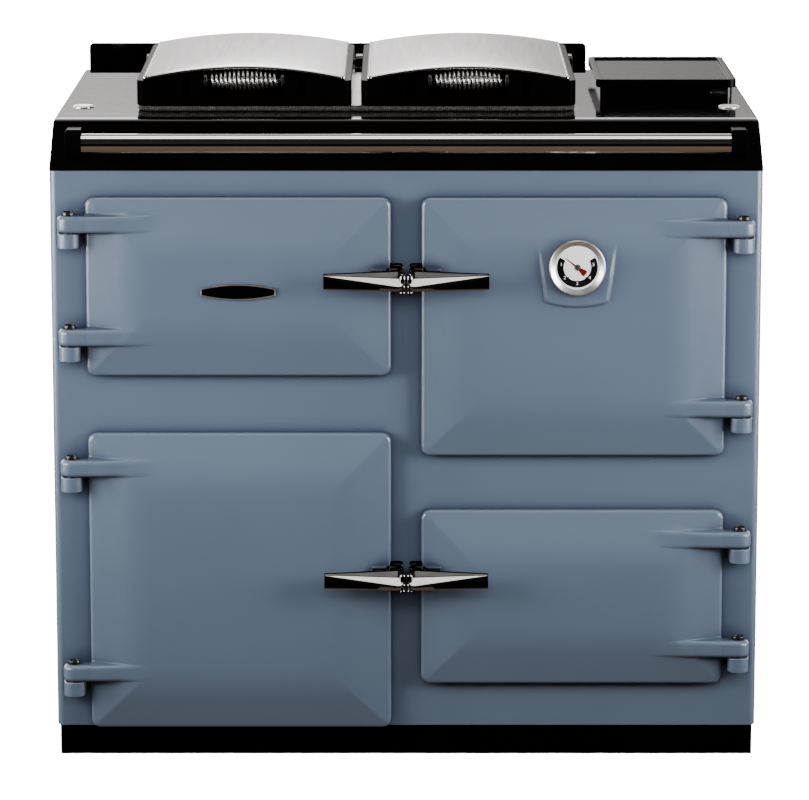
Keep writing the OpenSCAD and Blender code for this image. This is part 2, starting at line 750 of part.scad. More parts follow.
module hotplate() {
    color(bare_iron) placed() translate([0, 0, hotplate_z]) linear_extrude(hotplate_t)
        polygon(round_rect(hotplate_x - hotplate_w / 2, hotplate_front,
            hotplate_x + hotplate_w / 2, hotplate_back, 6));
}

module hotplate_rope_seal() {
    half = rope_w / 2;
    middle = lid_gap / 2 + lid_t;
    color(rope_grey) placed() {
        difference() {
            translate([0, 0, hob_h]) linear_extrude(rope_h)
                polygon(round_rect(hotplate_x - rope_x - half, rope_front - half,
                    hotplate_x + rope_x + half, rope_back + half, 10));
            translate([0, 0, hob_h - through]) linear_extrude(rope_h + 2 * through)
                polygon(round_rect(hotplate_x - rope_x + half, rope_front + half,
                    hotplate_x + rope_x - half, rope_back - half, 4));
        }
        block([hotplate_x - middle, rope_front + half - eps, hob_h + hotplate_rise],
            [hotplate_x + middle, rope_back - half + eps, hob_h + rope_h]);
    }
}

// ---------- Towel rail ----------
module rail_brackets() {
    z = hob_h - rail_drop;
    r = rail_bracket_r;
    color(enamel_black) placed() for (side = [-1, 1]) on_side(side) difference() {
        along_x(-rail_half - rail_bracket_w, -rail_half) polygon(concat(
            [[fascia_y(z - r), z - r]],
            arc(-rail_out, z, r, 270, 90, 14),
            [[fascia_y(z + r), z + r]]));
        bar_x(-rail_out, z, rail_r + seat / 2, -rail_half - rail_socket, -rail_half + through);
    }
}
module towel_rail() {
    color(polished) placed()
        bar_x(-rail_out, hob_h - rail_drop, rail_r, -rail_half - rail_socket, rail_half + rail_socket);
}

// ---------- Flue ----------
port_in = [30, 40];                           // gas port's margins along the flue box's left side
port_h = 60;                                  // top of the gas port above the flue box's floor
module flue_box() {
    wall = flue_t;
    color(bare_iron) placed() difference() {
        union() {
            block([flue_x - box_half, box_front, box_bottom], [flue_x + box_half, box_back, box_top]);
            block([flue_x - box_half, drop_front, drop_bottom], [flue_x + box_half, box_back, box_top]);
            bar_y(flue_x, flue_z, spigot_r, box_back - wall, body_d + spigot_out);
        }
        block([flue_x - box_half + wall, box_front + wall, box_bottom + wall],
            [flue_x + box_half - wall, box_back - wall, box_top + through]);
        block([flue_x - box_half + wall, drop_front + wall, drop_bottom + wall],
            [flue_x + box_half - wall, box_back - wall, box_top - wall]);
        bar_y(flue_x, flue_z, spigot_r - spigot_t, box_back - wall - through, body_d + spigot_out + through);
        block([flue_x - box_half - through, box_front + port_in[0], box_bottom + wall],
            [flue_x - box_half + wall + through, drop_front - port_in[1], box_bottom + port_h]);
    }
}

module flue_cover() {
    x0 = hatch_left - cover_lip;
    x1 = hatch_right + cover_lip;
    y0 = hatch_front - cover_lip;
    y1 = hatch_back + cover_lip;
    z0 = hob_h + hatch_h;
    color(enamel_black) placed() difference() {
        translate([0, 0, z0]) linear_extrude(cover_t) polygon(round_rect(x0, y0, x1, y1, 12));
        translate([0, 0, z0 + cover_t - bead_h]) linear_extrude(bead_h + through)
            polygon(round_rect(x0 + bead_w, y0 + bead_w, x1 - bead_w, y1 - bead_w, 6));
    }
}

// ---------- Doors ----------
ledge_y = -(seal_t + seat + liner_t);         // ledge that carries the liner
shell_t = 6;                                  // least thickness of a door's casting
deep_pocket = 42;                             // deepest pocket's margin inside the door
function inset_rect(row, d, r) =
    round_rect(-door_out + d, row[1] + d, -door_in - d, row[1] + row[2] - d, r);
// Deepest pocket at a distance in from the edge that leaves the casting its thickness
function pocket_y(d) = -(door_gap + cushion(d) - shell_t);

function arm_outline() = concat(
    arc(-pin_x, -pin_front, eye_r, 90, 270, 14),
    [[-door_out + arm_reach, face_y + 1], [-door_out + arm_reach, face_y + arm_d / 2],
     [-door_out + 2 * rim_r, -pin_front + eye_r - 1]]);

module door_body(row) {
    top = row[1] + row[2];
    intersection() {
        along_y(face_y - through, -door_gap) polygon(inset_rect(row, 0, door_corner_r));
        translate([-door_out, 0, row[1] - through]) linear_extrude(row[2] + 2 * through)
            mirror([0, 1]) translate([0, door_gap]) polygon(cushion_outline(door_w));
        along_x(-door_out - through, -door_in + through)
            translate([-door_gap, row[1]]) rotate(90) polygon(cushion_outline(row[2]));
    }
}

module door_casting(row) {
    pocket = [rim_w, rim_w + liner_ledge, deep_pocket];
    on_side(row[0]) difference() {
        union() {
            door_body(row);
            for (z = row[3]) translate([0, 0, z - arm_h / 2]) linear_extrude(arm_h) polygon(arm_outline());
            block([-pad_out, pad_y, row[4] - foot_h / 2], [-pad_in, pad_y + pad_d, row[4] + foot_h / 2]);
        }
        along_y(ledge_y, through) polygon(inset_rect(row, pocket[0], 4));
        for (i = [1, 2]) along_y(pocket_y(pocket[i]), through) polygon(inset_rect(row, pocket[i], 4));
        block([-pad_out - seat_cut, face_y - arm_d, row[4] - foot_h / 2 - seat_cut],
            [-pad_in + seat_cut, pad_y, row[4] + foot_h / 2 + seat_cut]);
        for (z = row[3]) translate([-pin_x, -pin_front, z - arm_h])
            cylinder(r = pin_r + pin_clear, h = 2 * arm_h, $fn = 64);
    }
}

module door_liner(row, hole = []) {
    pan = aperture_in + pan_gap;
    on_side(row[0]) difference() {
        union() {
            along_y(ledge_y, ledge_y + liner_t) polygon(inset_rect(row, rim_w + seat, 4));
            along_y(ledge_y, pan_depth) polygon(inset_rect(row, pan, 10));
        }
        along_y(ledge_y - through, pan_depth - liner_t) polygon(inset_rect(row, pan + liner_t, 8));
        if (len(hole) > 0) bar_y(hole[0], hole[1], hole[2], ledge_y - through, pan_depth + through);
    }
}

module door_seal(row) {
    outer = (rim_w + aperture_in - seal_w) / 2;
    on_side(row[0]) difference() {
        along_y(-seal_t, -seat) polygon(inset_rect(row, outer, 10));
        along_y(-seal_t - through, through) polygon(inset_rect(row, outer + seal_w, 4));
    }
}

// ---------- Door handles ----------
knuckle_in = 4;                               // knuckle's inner side, from the cooker's middle
knuckle_out = 27;
knuckle_r = 5;                                // rounding of the knuckle's corners
foot_front = pad_y - 13;                      // front of the bracket's foot
module handle_bracket(row) {
    z = row[4];
    on_side(row[0]) difference() {
        union() {
            along_y(-bracket_front, pad_y)
                polygon(round_rect(-knuckle_out, z - bracket_h / 2, -knuckle_in, z + bracket_h / 2,
                    knuckle_r));
            block([-pad_out, foot_front, z - foot_h / 2], [-knuckle_out + 4, pad_y, z + foot_h / 2]);
        }
        bar_y(-pivot_x, z, spindle_r + spindle_clear, -bracket_front - through, pad_y + through);
    }
}

grip_back = -bracket_front - neck_len;
hook_front = pad_y + seat;
roller_gap = 0.8;                             // gap between a catch's roller and the latch's nose
roller_x = pivot_x - nose_r - roller_gap - roller_r; // catch roller, from the cooker's middle
function grip_outline(z) =
    let (mid = z - grip_drop, inner = grip_h / 2 + 1.5, outer = grip_h / 2 - 1, x0 = -handle_tip, x1 = -5)
    concat([[x0, mid - outer + 4], [x0 + 4, mid - outer], [x1 - 6, mid - inner], [x1, mid - inner + 6],
        [x1, mid + inner - 6], [x1 - 6, mid + inner], [x0 + 4, mid + outer], [x0, mid + outer - 4]]);
function grip_plan() =
    let (x0 = -handle_tip - 1, x1 = -4, f = grip_back - grip_t, b = grip_back)
    [[x0, b - 2], [x0 + 3, b], [x1 - 3, b], [x1, b - 2],
        [x1, f + 5], [x1 - 5, f], [x0 + 9, f + 1], [x0, f + 6]];

collar_r = spindle_r + 3;                     // collar between a handle's grip and its bracket
module door_handle(row) {
    z = row[4];
    color(dark_chrome) placed() on_side(row[0]) {
        intersection() {
            along_y(grip_back - grip_t - 1, grip_back + 1) polygon(grip_outline(z));
            translate([0, 0, z - 2 * grip_h]) linear_extrude(4 * grip_h) polygon(grip_plan());
        }
        bar_y(-pivot_x, z, spindle_r, grip_back - 4, hook_front + hook_t);
        bar_y(-pivot_x, z, collar_r, grip_back - eps, -bracket_front - seat);
        along_y(hook_front, hook_front + hook_t) polygon(concat(
            arc(-pivot_x, z, collar_r, 0, 180, 10), arc(-pivot_x, z - nose_drop, nose_r, 180, 360, 8)));
    }
}

catch_half = 16;                              // half the width of a catch's plate
catch_up = 12;                                // half the height of a catch's plate
catch_t = 5;                                  // thickness of a catch's plate
module door_catches() {
    tip = pad_y + 1;
    color(bare_iron) placed() for (z = [upper_handle_z, lower_handle_z]) {
        block([-catch_half, -catch_t, z - nose_drop - catch_up], [catch_half, 0, z - nose_drop + catch_up]);
        for (side = [-1, 1]) bar_y(side * roller_x, z - nose_drop, roller_r, tip, -catch_t + 1);
    }
}

module upper_left_door() color(enamel_blue) placed() door_casting(UL);
module upper_left_liner() color(zinc) placed() door_liner(UL);
module upper_left_rope_seal() color(rope_grey) placed() door_seal(UL);
module upper_left_handle_bracket() color(enamel_black) placed() handle_bracket(UL);
module upper_left_handle() door_handle(UL);
module lower_left_door() color(enamel_blue) placed() door_casting(LL);
module lower_left_liner() color(zinc) placed() door_liner(LL);
module lower_left_rope_seal() color(rope_grey) placed() door_seal(LL);
module lower_left_handle_bracket() color(enamel_black) placed() handle_bracket(LL);
module lower_left_handle() door_handle(LL);
module lower_right_door() color(enamel_blue) placed() door_casting(LR);
module lower_right_liner() color(zinc) placed() door_liner(LR);
module lower_right_rope_seal() color(rope_grey) placed() door_seal(LR);
module lower_right_handle_bracket() color(enamel_black) placed() handle_bracket(LR);
module lower_right_handle() door_handle(LR);
module upper_right_rope_seal() color(rope_grey) placed() door_seal(UR);
module upper_right_handle_bracket() color(enamel_black) placed() handle_bracket(UR);
module upper_right_handle() door_handle(UR);

// ---------- Badge plate ----------
badge_x = -(door_in + door_out) / 2;
badge_z = UL[1] + UL[2] / 2 - 4;
module badge_plate() {
    w = badge_w / 2;
    e = badge_end / 2;
    h = badge_h / 2;
    n = 8;
    color(dark_chrome) placed() along_y(face_y - badge_t, face_y) translate([badge_x, badge_z])
        polygon(concat([for (i = [0:n]) let (t = 1 - 2 * i / n) [w * t, h - (h - e) * t * t]],
            [for (i = [0:n]) let (t = -1 + 2 * i / n) [w * t, -h + (h - e) * t * t]]));
}

// ---------- Thermometer ----------
gauge_x = (door_in + door_out) / 2 + 3.5;
gauge_z = casting_top - gauge_drop;
boss_rise = 5;
boss_front = face_y - boss_rise;
case_r = bezel_r - 3;
probe_end = pan_depth + 30;
module gauge_boss() {
    low = bezel_r + 17;                       // boss's reach below the thermometer's middle
    high = bezel_r + 23;                      // boss's reach above it
    side = bezel_r + 12;                      // boss's half width
    foot = 44;
    head = 22;
    intersection() {
        along_y(boss_front - through, face_y + eps) translate([gauge_x, gauge_z]) polygon(concat(
            [[-foot, -low + 8], [-foot + 6, -low], [foot - 6, -low], [foot, -low + 8]],
            arc(0, 0, side, -22, 42, 6), [[head, high], [-head, high]], arc(0, 0, side, 138, 202, 6)));
        along_x(gauge_x - side - through, gauge_x + side + through) polygon([
            [face_y + eps, gauge_z - low - 1], [face_y, gauge_z - low - 1], [boss_front, gauge_z - low + 6],
            [boss_front, gauge_z + 8], [face_y, gauge_z + high + 1], [face_y + eps, gauge_z + high + 1]]);
    }
}
module upper_right_door() color(enamel_blue) placed() difference() {
    union() {
        door_casting(UR);
        gauge_boss();
    }
    bar_y(gauge_x, gauge_z, case_r + seat, boss_front - through, face_y + 20);
}
module upper_right_liner() color(zinc) placed() door_liner(UR, [-gauge_x, gauge_z, probe_r + 1]);

glass_y = boss_front - seat - bezel_out + 2;  // front of the glass
dial_y = glass_y + glass_t + 5;               // face of the dial
module thermometer_case() {
    seat_y = boss_front - seat;
    color(polished) placed() translate([gauge_x, seat_y, gauge_z]) rotate([90, 0, 0]) rotate_extrude($fn = 72)
        polygon([[0, -case_d], [case_r, -case_d], [case_r, 0], [bezel_r, 0], [bezel_r, bezel_out - 4],
            [bezel_r - 3, bezel_out], [glass_r - 1, bezel_out - 1.5], [glass_r - 1, bezel_out - 2],
            [glass_r + 1, bezel_out - 2], [glass_r + 1, bezel_out - 2 - glass_t - 6],
            [probe_r, bezel_out - 2 - glass_t - 6], [0, bezel_out - 2 - glass_t - 6]]);
    color(zinc) placed() bar_y(gauge_x, gauge_z, probe_r, seat_y + case_d - eps, probe_end);
}
module thermometer_dial() color([0.92, 0.92, 0.9]) placed()
    bar_y(gauge_x, gauge_z, glass_r + 0.7, dial_y, dial_y + 1);
module thermometer_glass() color([0.8, 0.85, 0.88]) placed()
    bar_y(gauge_x, gauge_z, glass_r + 0.7, glass_y, glass_y + glass_t);
module thermometer_pointer() {
    y1 = dial_y - 0.6;
    color([0.7, 0.05, 0.04]) placed() translate([gauge_x, 0, gauge_z]) {
        bar_y(0, 0, 5, y1 - 2.6, y1);
        rotate([0, -pointer_rest, 0]) along_y(y1 - 1.8, y1 - 0.8)
            polygon([[-1.6, 0], [-0.8, pointer_len], [0.8, pointer_len], [1.6, 0], [5, -15], [-5, -15]]);
    }
}

// ---------- Ovens ----------
runner_up = 95;                               // main oven runner's height above the oven floor
module oven(row, runners) {
    x0 = open_in;
    x1 = open_out;
    z0 = open_bottom(row);
    z1 = open_top(row);
    back = plate_t + oven_d;
    color(bare_iron) placed() {
        difference() {
            union() {
                block([x0 - oven_t, plate_t, z0 - oven_t], [x1 + oven_t, back + oven_t, z1 + oven_t]);
                block([x0 - oven_flange, plate_t, z0 - oven_flange],
                    [x1 + oven_flange, plate_t + oven_t, z1 + oven_flange]);
            }
            along_y(plate_t - through, back) polygon(round_rect(x0, z0, x1, z1, aperture_r));
        }
        for (up = runners) {
            block([x0 - eps, plate_t + 20, z0 + up - runner_t], [x0 + runner_out, back + eps, z0 + up]);
            block([x1 - runner_out, plate_t + 20, z0 + up - runner_t], [x1 + eps, back + eps, z0 + up]);
        }
    }
}
main_runners = [runner_up, runner_up + 90];
lower_runners = [85];
module main_oven() oven(UR, main_runners);
module lower_oven() oven(LR, lower_runners);

// A grid shelf on an oven's runners, its back near the oven's back wall
module grid_shelf(row, up) {
    gap = 1.5;
    r = shelf_rod;
    z = open_bottom(row) + up + seat + r;
    x0 = open_in + gap + r;
    x1 = open_out - gap - r;
    y1 = plate_t + oven_d - gap - r;
    y0 = y1 - oven_d + shelf_short + 2 * r;
    color(polished) placed() {
        for (x = [x0, x1]) bar_y(x, z, r, y0 - r, y1 + r);
        for (y = [y0, (y0 + y1) / 2, y1]) bar_x(y, z, r - 0.2, x0, x1);
        for (i = [1:shelf_wires]) let (x = x0 + (x1 - x0) * i / (shelf_wires + 1))
            bar_y(x, z, shelf_wire, y0, y1);
    }
}
module main_oven_shelf() grid_shelf(UR, main_runners[0]);
module lower_oven_shelf() grid_shelf(LR, lower_runners[0]);

// ---------- Boiler and burner ----------
collar_d = 90;                                // depth of the gas way up to the hotplate
collar_half = 120;                            // half its width
collar_back = 30;                             // gas way's distance in from the chamber's back
stub_end = body_d + 6;                        // end of the pipe sockets, behind the back panel
pipe_r = tapping_r - 3;                       // way through a pipe socket, behind its thread
module boiler() {
    x0 = -open_out;
    x1 = -open_in;
    z0 = open_bottom(UL);
    z1 = open_top(UL);
    back = plate_t + chamber_d;
    w = boiler_wall;
    t = boiler_t;
    collar = [burner_x - collar_half, back - collar_d - collar_back,
        burner_x + collar_half, back - collar_back];
    color(bare_iron) placed() difference() {
        union() {
            block([x0 - w, plate_t, z0 - w], [x1 + w, boiler_back, z1 + w]);
            block([collar[0] - t, collar[1] - t, z1 + w - eps],
                [collar[2] + t, collar[3] + t, hotplate_z - ledge_t - 4]);
        }
        along_y(plate_t - through, back) polygon(round_rect(x0, z0, x1, z1, aperture_r));
        block([collar[0], collar[1], z1 - through], [collar[2], collar[3], hob_h]);
        water_space(x0, x1, z0, z1, back);
        for (at = [flow_at, return_at]) bar_y(at[0], at[1], pipe_r, back + t, body_d);
        translate([burner_x, burner_y, z0 - w - through])
            cylinder(r = blast_r + 1, h = w + 2 * through, $fn = 72);
    }
}
// Screwed pipe sockets, welded to the boiler's back
module boiler_sockets() {
    color(zinc) placed() for (at = [flow_at, return_at]) difference() {
        bar_y(at[0], at[1], stub_r, boiler_back, stub_end);
        bar_y(at[0], at[1], pipe_r, boiler_back - through, body_d);
        bar_y(at[0], at[1], tapping_r, stub_end - tapping_len, stub_end + through);
    }
}
// Water space round the chamber's sides and back
module water_space(x0, x1, z0, z1, back) {
    t = boiler_t;
    block([x0 - t - water_t, plate_t + t, z0], [x0 - t, back + t + water_t, z1]);
    block([x1 + t, plate_t + t, z0], [x1 + t + water_t, back + t + water_t, z1]);
    block([x0 - t - water_t, back + t, z0], [x1 + t + water_t, back + t + water_t, z1]);
}

burner_drop = 150;                            // blast tube's flange to the fan's axis
module burner() {
    top = open_bottom(UL) - boiler_wall;
    fan_z = top - burner_drop;
    x = burner_x;
    y = burner_y;
    side = x - fan_w / 2;                     // fan housing's left side
    pump_r = 24;
    pump_len = 50;
    inlet_r = 30;                             // air inlet's radius and length
    color([0.45, 0.10, 0.08]) placed() {
        translate([x, y, fan_z]) cylinder(r = blast_r, h = top - fan_z + boiler_wall - 4, $fn = 72);
        translate([x, y, top - 6]) cylinder(r = blast_r + 18, h = 6, $fn = 72);
        bar_x(y, fan_z, fan_r, x - fan_w / 2, x + fan_w / 2);
        bar_x(y, fan_z, motor_r, x + fan_w / 2 - eps, x + fan_w / 2 + motor_len);
        bar_x(y, fan_z - 18, pump_r, side - pump_len, side + eps);
        bar_x(y, fan_z + inlet_r, inlet_r, side - inlet_r, side + eps);
    }
    color(zinc) placed() translate([side - inlet_r, y, plinth_h + panel_t])
        cylinder(r = 5, h = fan_z - inlet_r - plinth_h, $fn = 32);
}

panel_lap = 8;                                // control panel's lap behind the opening's top and side
panel_w = 138;
panel_h = 118;
panel_at = [-open_out - panel_lap, -open_out - panel_lap + panel_w, open_top(LL) + panel_lap - panel_h,
    open_top(LL) + panel_lap];
panel_y = 44;                                 // control panel's face, behind the front casting's face
sheet_t = 2;
knob_x = -open_out + 62;
knob_z = open_top(LL) - 52;
shaft_r = 3;
switch_in = 10;                               // switch box's margins behind the panel
switch_d = 50;
shaft_in = 12;                                // how far the knob's shaft goes into the switch box
module control_panel() {
    color(zinc) placed() difference() {
        union() {
            block([panel_at[0], panel_y, panel_at[2]], [panel_at[1], panel_y + sheet_t, panel_at[3]]);
            block([panel_at[0], plate_t, panel_at[2]],
                [panel_at[0] + sheet_t, panel_y + sheet_t, panel_at[3]]);
            block([panel_at[0], plate_t, panel_at[3] - sheet_t],
                [panel_at[1], panel_y + sheet_t, panel_at[3]]);
        }
        bar_y(knob_x, knob_z, shaft_r + spindle_clear, panel_y - through, panel_y + sheet_t + through);
    }
    color(enamel_black) placed() difference() {
        block([panel_at[0] + switch_in, panel_y + sheet_t, panel_at[2] + switch_in],
            [panel_at[1] - switch_in, panel_y + sheet_t + switch_d, panel_at[3] - 2 * panel_lap]);
        bar_y(knob_x, knob_z, shaft_r + spindle_clear, panel_y, panel_y + sheet_t + shaft_in);
    }
}
module thermostat_knob() {
    front = panel_y - seat - knob_len;
    color(enamel_black) placed() difference() {
        union() {
            bar_y(knob_x, knob_z, knob_r, front, panel_y - seat);
            bar_y(knob_x, knob_z, shaft_r, panel_y - 1, panel_y + shaft_in);
        }
        block([knob_x - 1, front - through, knob_z + 4], [knob_x + 1, front + 1, knob_z + knob_r + 1]);
    }
}

module insulation() {
    front = plate_t + oven_t + seat;
    left = open_out + boiler_wall + seat;
    right = open_out + oven_flange + seat;
    side = side_x - panel_t - seat;
    color([0.75, 0.72, 0.62]) placed() {
        block([-side, return_d + plate_t, open_bottom(UL) - boiler_wall],
            [-left, boiler_back, open_top(UL) + boiler_wall]);
        block([right, return_d + plate_t, plinth_h + panel_t + seat],
            [side, plate_t + oven_d, open_top(UR) + oven_t]);
        block([open_in, front, open_top(LR) + oven_flange + seat],
            [open_out, plate_t + oven_d, open_bottom(UR) - oven_flange - seat]);
        block([open_in, front, plinth_h + panel_t + seat],
            [open_out, plate_t + oven_d, open_bottom(LR) - oven_flange - seat]);
    }
}

// ---------- Lids ----------
lid_top_front = lid_foot + lid_h_front;
arch_in = 2 * dome_front + 4;                 // arched crown's margin inside the dome
crown_t = 4;
function vault(half, low, side, rise, n = 14) = concat(
    [[-half, low], [half, low], [half, side]],
    [for (i = [1:n - 1]) let (t = 1 - 2 * i / n) [half * t, side + rise * (1 - t * t)]],
    [[-half, side]]);
// Draws on the sloping top of a lid's casting
module on_lid_top() translate([0, lid_front, lid_top_front]) rotate([lid_slope, 0, 0]) children();

module lid_casting_shape() {
    half = lid_w / 2;
    wall = lid_t;
    box_half = recess_half + wall;
    recess_back = lid_front + recess_d;
    difference() {
        union() {
            intersection() {
                translate([0, 0, lid_foot]) linear_extrude(lid_h_back + through)
                    polygon(round_rect(-half, lid_front, half, lid_back, lid_corner_r));
                along_x(-half - 1, half + 1) polygon([[lid_front - 1, lid_foot - 1],
                    [lid_back + 1, lid_foot - 1], [lid_back + 1, lid_foot + lid_h_back],
                    [lid_front - 1, lid_top_front]]);
            }
            on_lid_top() translate([0, arch_in, 0]) rotate([90, 0, 0]) mirror([0, 0, 1])
                linear_extrude(lid_d - 2 * arch_in)
                polygon(vault(dome_half - arch_in, -2, dome_side - dome_t - seat, dome_rise));
        }
        difference() {
            union() {
                block([-half + wall, lid_front + wall, lid_foot - through], [half - wall, lid_back - wall,
                    lid_top_front - wall]);
                on_lid_top() translate([0, arch_in + crown_t, 0]) rotate([90, 0, 0]) mirror([0, 0, 1])
                    linear_extrude(lid_d - 2 * (arch_in + crown_t))
                    polygon(vault(dome_half - arch_in - crown_t, -wall - 1,
                        dome_side - dome_t - crown_t - seat, dome_rise));
            }
            block([-box_half, lid_front, lid_foot + recess_floor - wall],
                [box_half, recess_back + wall, lid_top_front + 30]);
        }
        block([-recess_half, lid_front - through, lid_foot + recess_floor],
            [recess_half, recess_back, lid_top_front + 40]);
    }
}

module lid_casting(side) {
    lug_z = coil_z + hob_h;
    color(enamel_black) placed() at_lid(side) difference() {
        union() {
            lid_casting_shape();
            for (end = [-1, 1]) {
                x0 = end < 0 ? -lug_inner - coil_lug_w : lug_inner;
                translate([x0, coil_y + ferrule_r, lid_foot + recess_floor - eps]) rotate([90, 0, 0])
                    linear_extrude(2 * ferrule_r)
                    polygon([[0, 0], [coil_lug_w, 0], [coil_lug_w, lug_z + 3 - lid_foot - recess_floor],
                        [coil_lug_w - 3, lug_z + 9 - lid_foot - recess_floor],
                        [3, lug_z + 9 - lid_foot - recess_floor], [0, lug_z + 5 - lid_foot - recess_floor]]);
                e0 = end < 0 ? -lid_w / 2 : lid_w / 2 - lid_eye_w;
                along_x(e0, e0 + lid_eye_w) polygon(concat(
                    [[lid_back - eps, axis_z - lid_eye_r]],
                    arc(lid_axis_y, axis_z, lid_eye_r, -90, 90, 12),
                    [[lid_back - eps, axis_z + lid_eye_r]]));
            }
        }
        bar_x(lid_axis_y, axis_z, rod_r + rod_clear, -lid_w, lid_w);
    }
}
module lid_dome(side) {
    color(polished) placed() at_lid(side) on_lid_top() translate([0, dome_front, 0.2])
        rotate([90, 0, 0]) mirror([0, 0, 1]) difference() {
            linear_extrude(dome_len) polygon(vault(dome_half, 0, dome_side, dome_rise));
            translate([0, 0, -through]) linear_extrude(dome_len + 2 * through)
                polygon(vault(dome_half - dome_t, -through, dome_side - dome_t, dome_rise));
        }
}
module lid_liner(side) {
    half = lid_w / 2 - lid_t - seat;
    color(zinc) placed() at_lid(side) difference() {
        translate([0, 0, lid_foot + 1]) linear_extrude(recess_floor - lid_t - 2)
            polygon(round_rect(-half, lid_front + lid_t + seat, half, lid_back - lid_t - seat, 3));
        translate([0, 0, lid_foot + 3]) linear_extrude(recess_floor)
            polygon(round_rect(-half + 2, lid_front + lid_t + seat + 2,
                half - 2, lid_back - lid_t - seat - 2, 2));
    }
}

// Coil of one unbroken wire: rings of six sides along a helix whose radius swells in the middle.
// Its ends run straight along the axis for one wire's thickness, into the ferrules.
rings = 8;
sides = 6;
wire_r = wire_d / 2;
end_run = wire_d * 1.5;
wound_len = coil_len - 2 * end_run;
function barrel(t) = coil_end_r - wire_r + (coil_mid_r - coil_end_r) * sin(180 * t);
function helix_at(t) = let (a = 360 * coil_turns * t)
    [-wound_len / 2 + wound_len * t, barrel(t) * cos(a), barrel(t) * sin(a)];
helix_n = coil_turns * rings;
coil_angles = concat([0, 0, 0], [for (i = [1:helix_n - 1]) 360 * i / rings], [0, 0, 0]);
coil_path = concat(
    [[-coil_len / 2, barrel(0), 0], [-coil_len / 2 + wire_d, barrel(0), 0],
     [-wound_len / 2 - wire_d / 6, barrel(0), 0.35 * wire_r]],
    [for (i = [1:helix_n - 1]) helix_at(i / helix_n)],
    [[wound_len / 2 + wire_d / 6, barrel(1), -0.35 * wire_r], [coil_len / 2 - wire_d, barrel(1), 0],
     [coil_len / 2, barrel(1), 0]]);
last_ring = len(coil_path) - 1;
function unit(v) = v / norm(v);
function tangent(i) = i < 2 || i > last_ring - 2 ? [1, 0, 0] : unit(coil_path[i + 1] - coil_path[i - 1]);
function ring_points(i) = let (radial = [0, cos(coil_angles[i]), sin(coil_angles[i])],
    flat = unit(cross(tangent(i), radial)), out = cross(flat, tangent(i)))
    [for (k = [0:sides - 1]) let (a = 360 * k / sides)
        coil_path[i] + wire_r * (cos(a) * out + sin(a) * flat)];
coil_gap = min([for (i = [0:last_ring], j = [i + rings / 2:last_ring])
    norm(coil_path[i] - coil_path[j])]) - wire_d;
echo(least_gap_between_turns_mm = coil_gap);

module coil() {
    points = [for (i = [0:last_ring]) each ring_points(i)];
    first = [for (k = [1:sides - 2]) [0, k, k + 1]];
    base = last_ring * sides;
    last = [for (k = [1:sides - 2]) [base, base + k + 1, base + k]];
    wall = [for (i = [0:last_ring - 1], k = [0:sides - 1])
        let (a = i * sides + k, b = i * sides + (k + 1) % sides, c = a + sides, d = b + sides)
        each [[a, c, b], [b, c, d]]];
    polyhedron(points = points, faces = concat(first, wall, last));
}

module coil_handle(side) {
    color(polished) placed() at_lid(side) translate([0, coil_y, hob_h + coil_z]) {
        coil();
        for (x = [-coil_len / 2 - ferrule_len, coil_len / 2]) bar_x(0, 0, ferrule_r, x, x + ferrule_len);
    }
}
module left_lid_casting() lid_casting(-1);
module left_lid_dome() lid_dome(-1);
module left_lid_liner() lid_liner(-1);
module left_lid_coil_handle() coil_handle(-1);
module right_lid_casting() lid_casting(1);
module right_lid_dome() lid_dome(1);
module right_lid_liner() lid_liner(1);
module right_lid_coil_handle() coil_handle(1);

plinth();
base_plate();
front_plate();
left_side_panel();
right_side_panel();
back_panel();
top_plate();
rear_upstand();
hotplate();
hotplate_rope_seal();
hob_plugs();
rail_brackets();
towel_rail();
flue_box();
flue_cover();
main_oven();
lower_oven();
boiler();
boiler_sockets();
burner();
control_panel();
hinge_pins();
door_catches();
insulation();
upper_left_door();
upper_left_liner();
upper_left_rope_seal();
upper_left_handle_bracket();
upper_left_handle();
badge_plate();
upper_right_door();
upper_right_liner();
upper_right_rope_seal();
upper_right_handle_bracket();
upper_right_handle();
thermometer_case();
thermometer_dial();
thermometer_glass();
thermometer_pointer();
lower_left_door();
lower_left_liner();
lower_left_rope_seal();
lower_left_handle_bracket();
lower_left_handle();
lower_right_door();
lower_right_liner();
lower_right_rope_seal();
lower_right_handle_bracket();
lower_right_handle();
left_lid_casting();
left_lid_dome();
left_lid_liner();
left_lid_coil_handle();
right_lid_casting();
right_lid_dome();
right_lid_liner();
right_lid_coil_handle();
main_oven_shelf();
lower_oven_shelf();
thermostat_knob();
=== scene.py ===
"""A cast iron range cooker: enamelled doors on hinge arms, domed hotplate lids, towel rail and flue cover.

Metres, +Z up, +X to the viewer's right, +Y to the back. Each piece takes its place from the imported
frame; profiles and small forms are drawn in millimetres, which MM turns into metres.
"""
import math

import bmesh
import bpy
from mathutils import Matrix, Vector


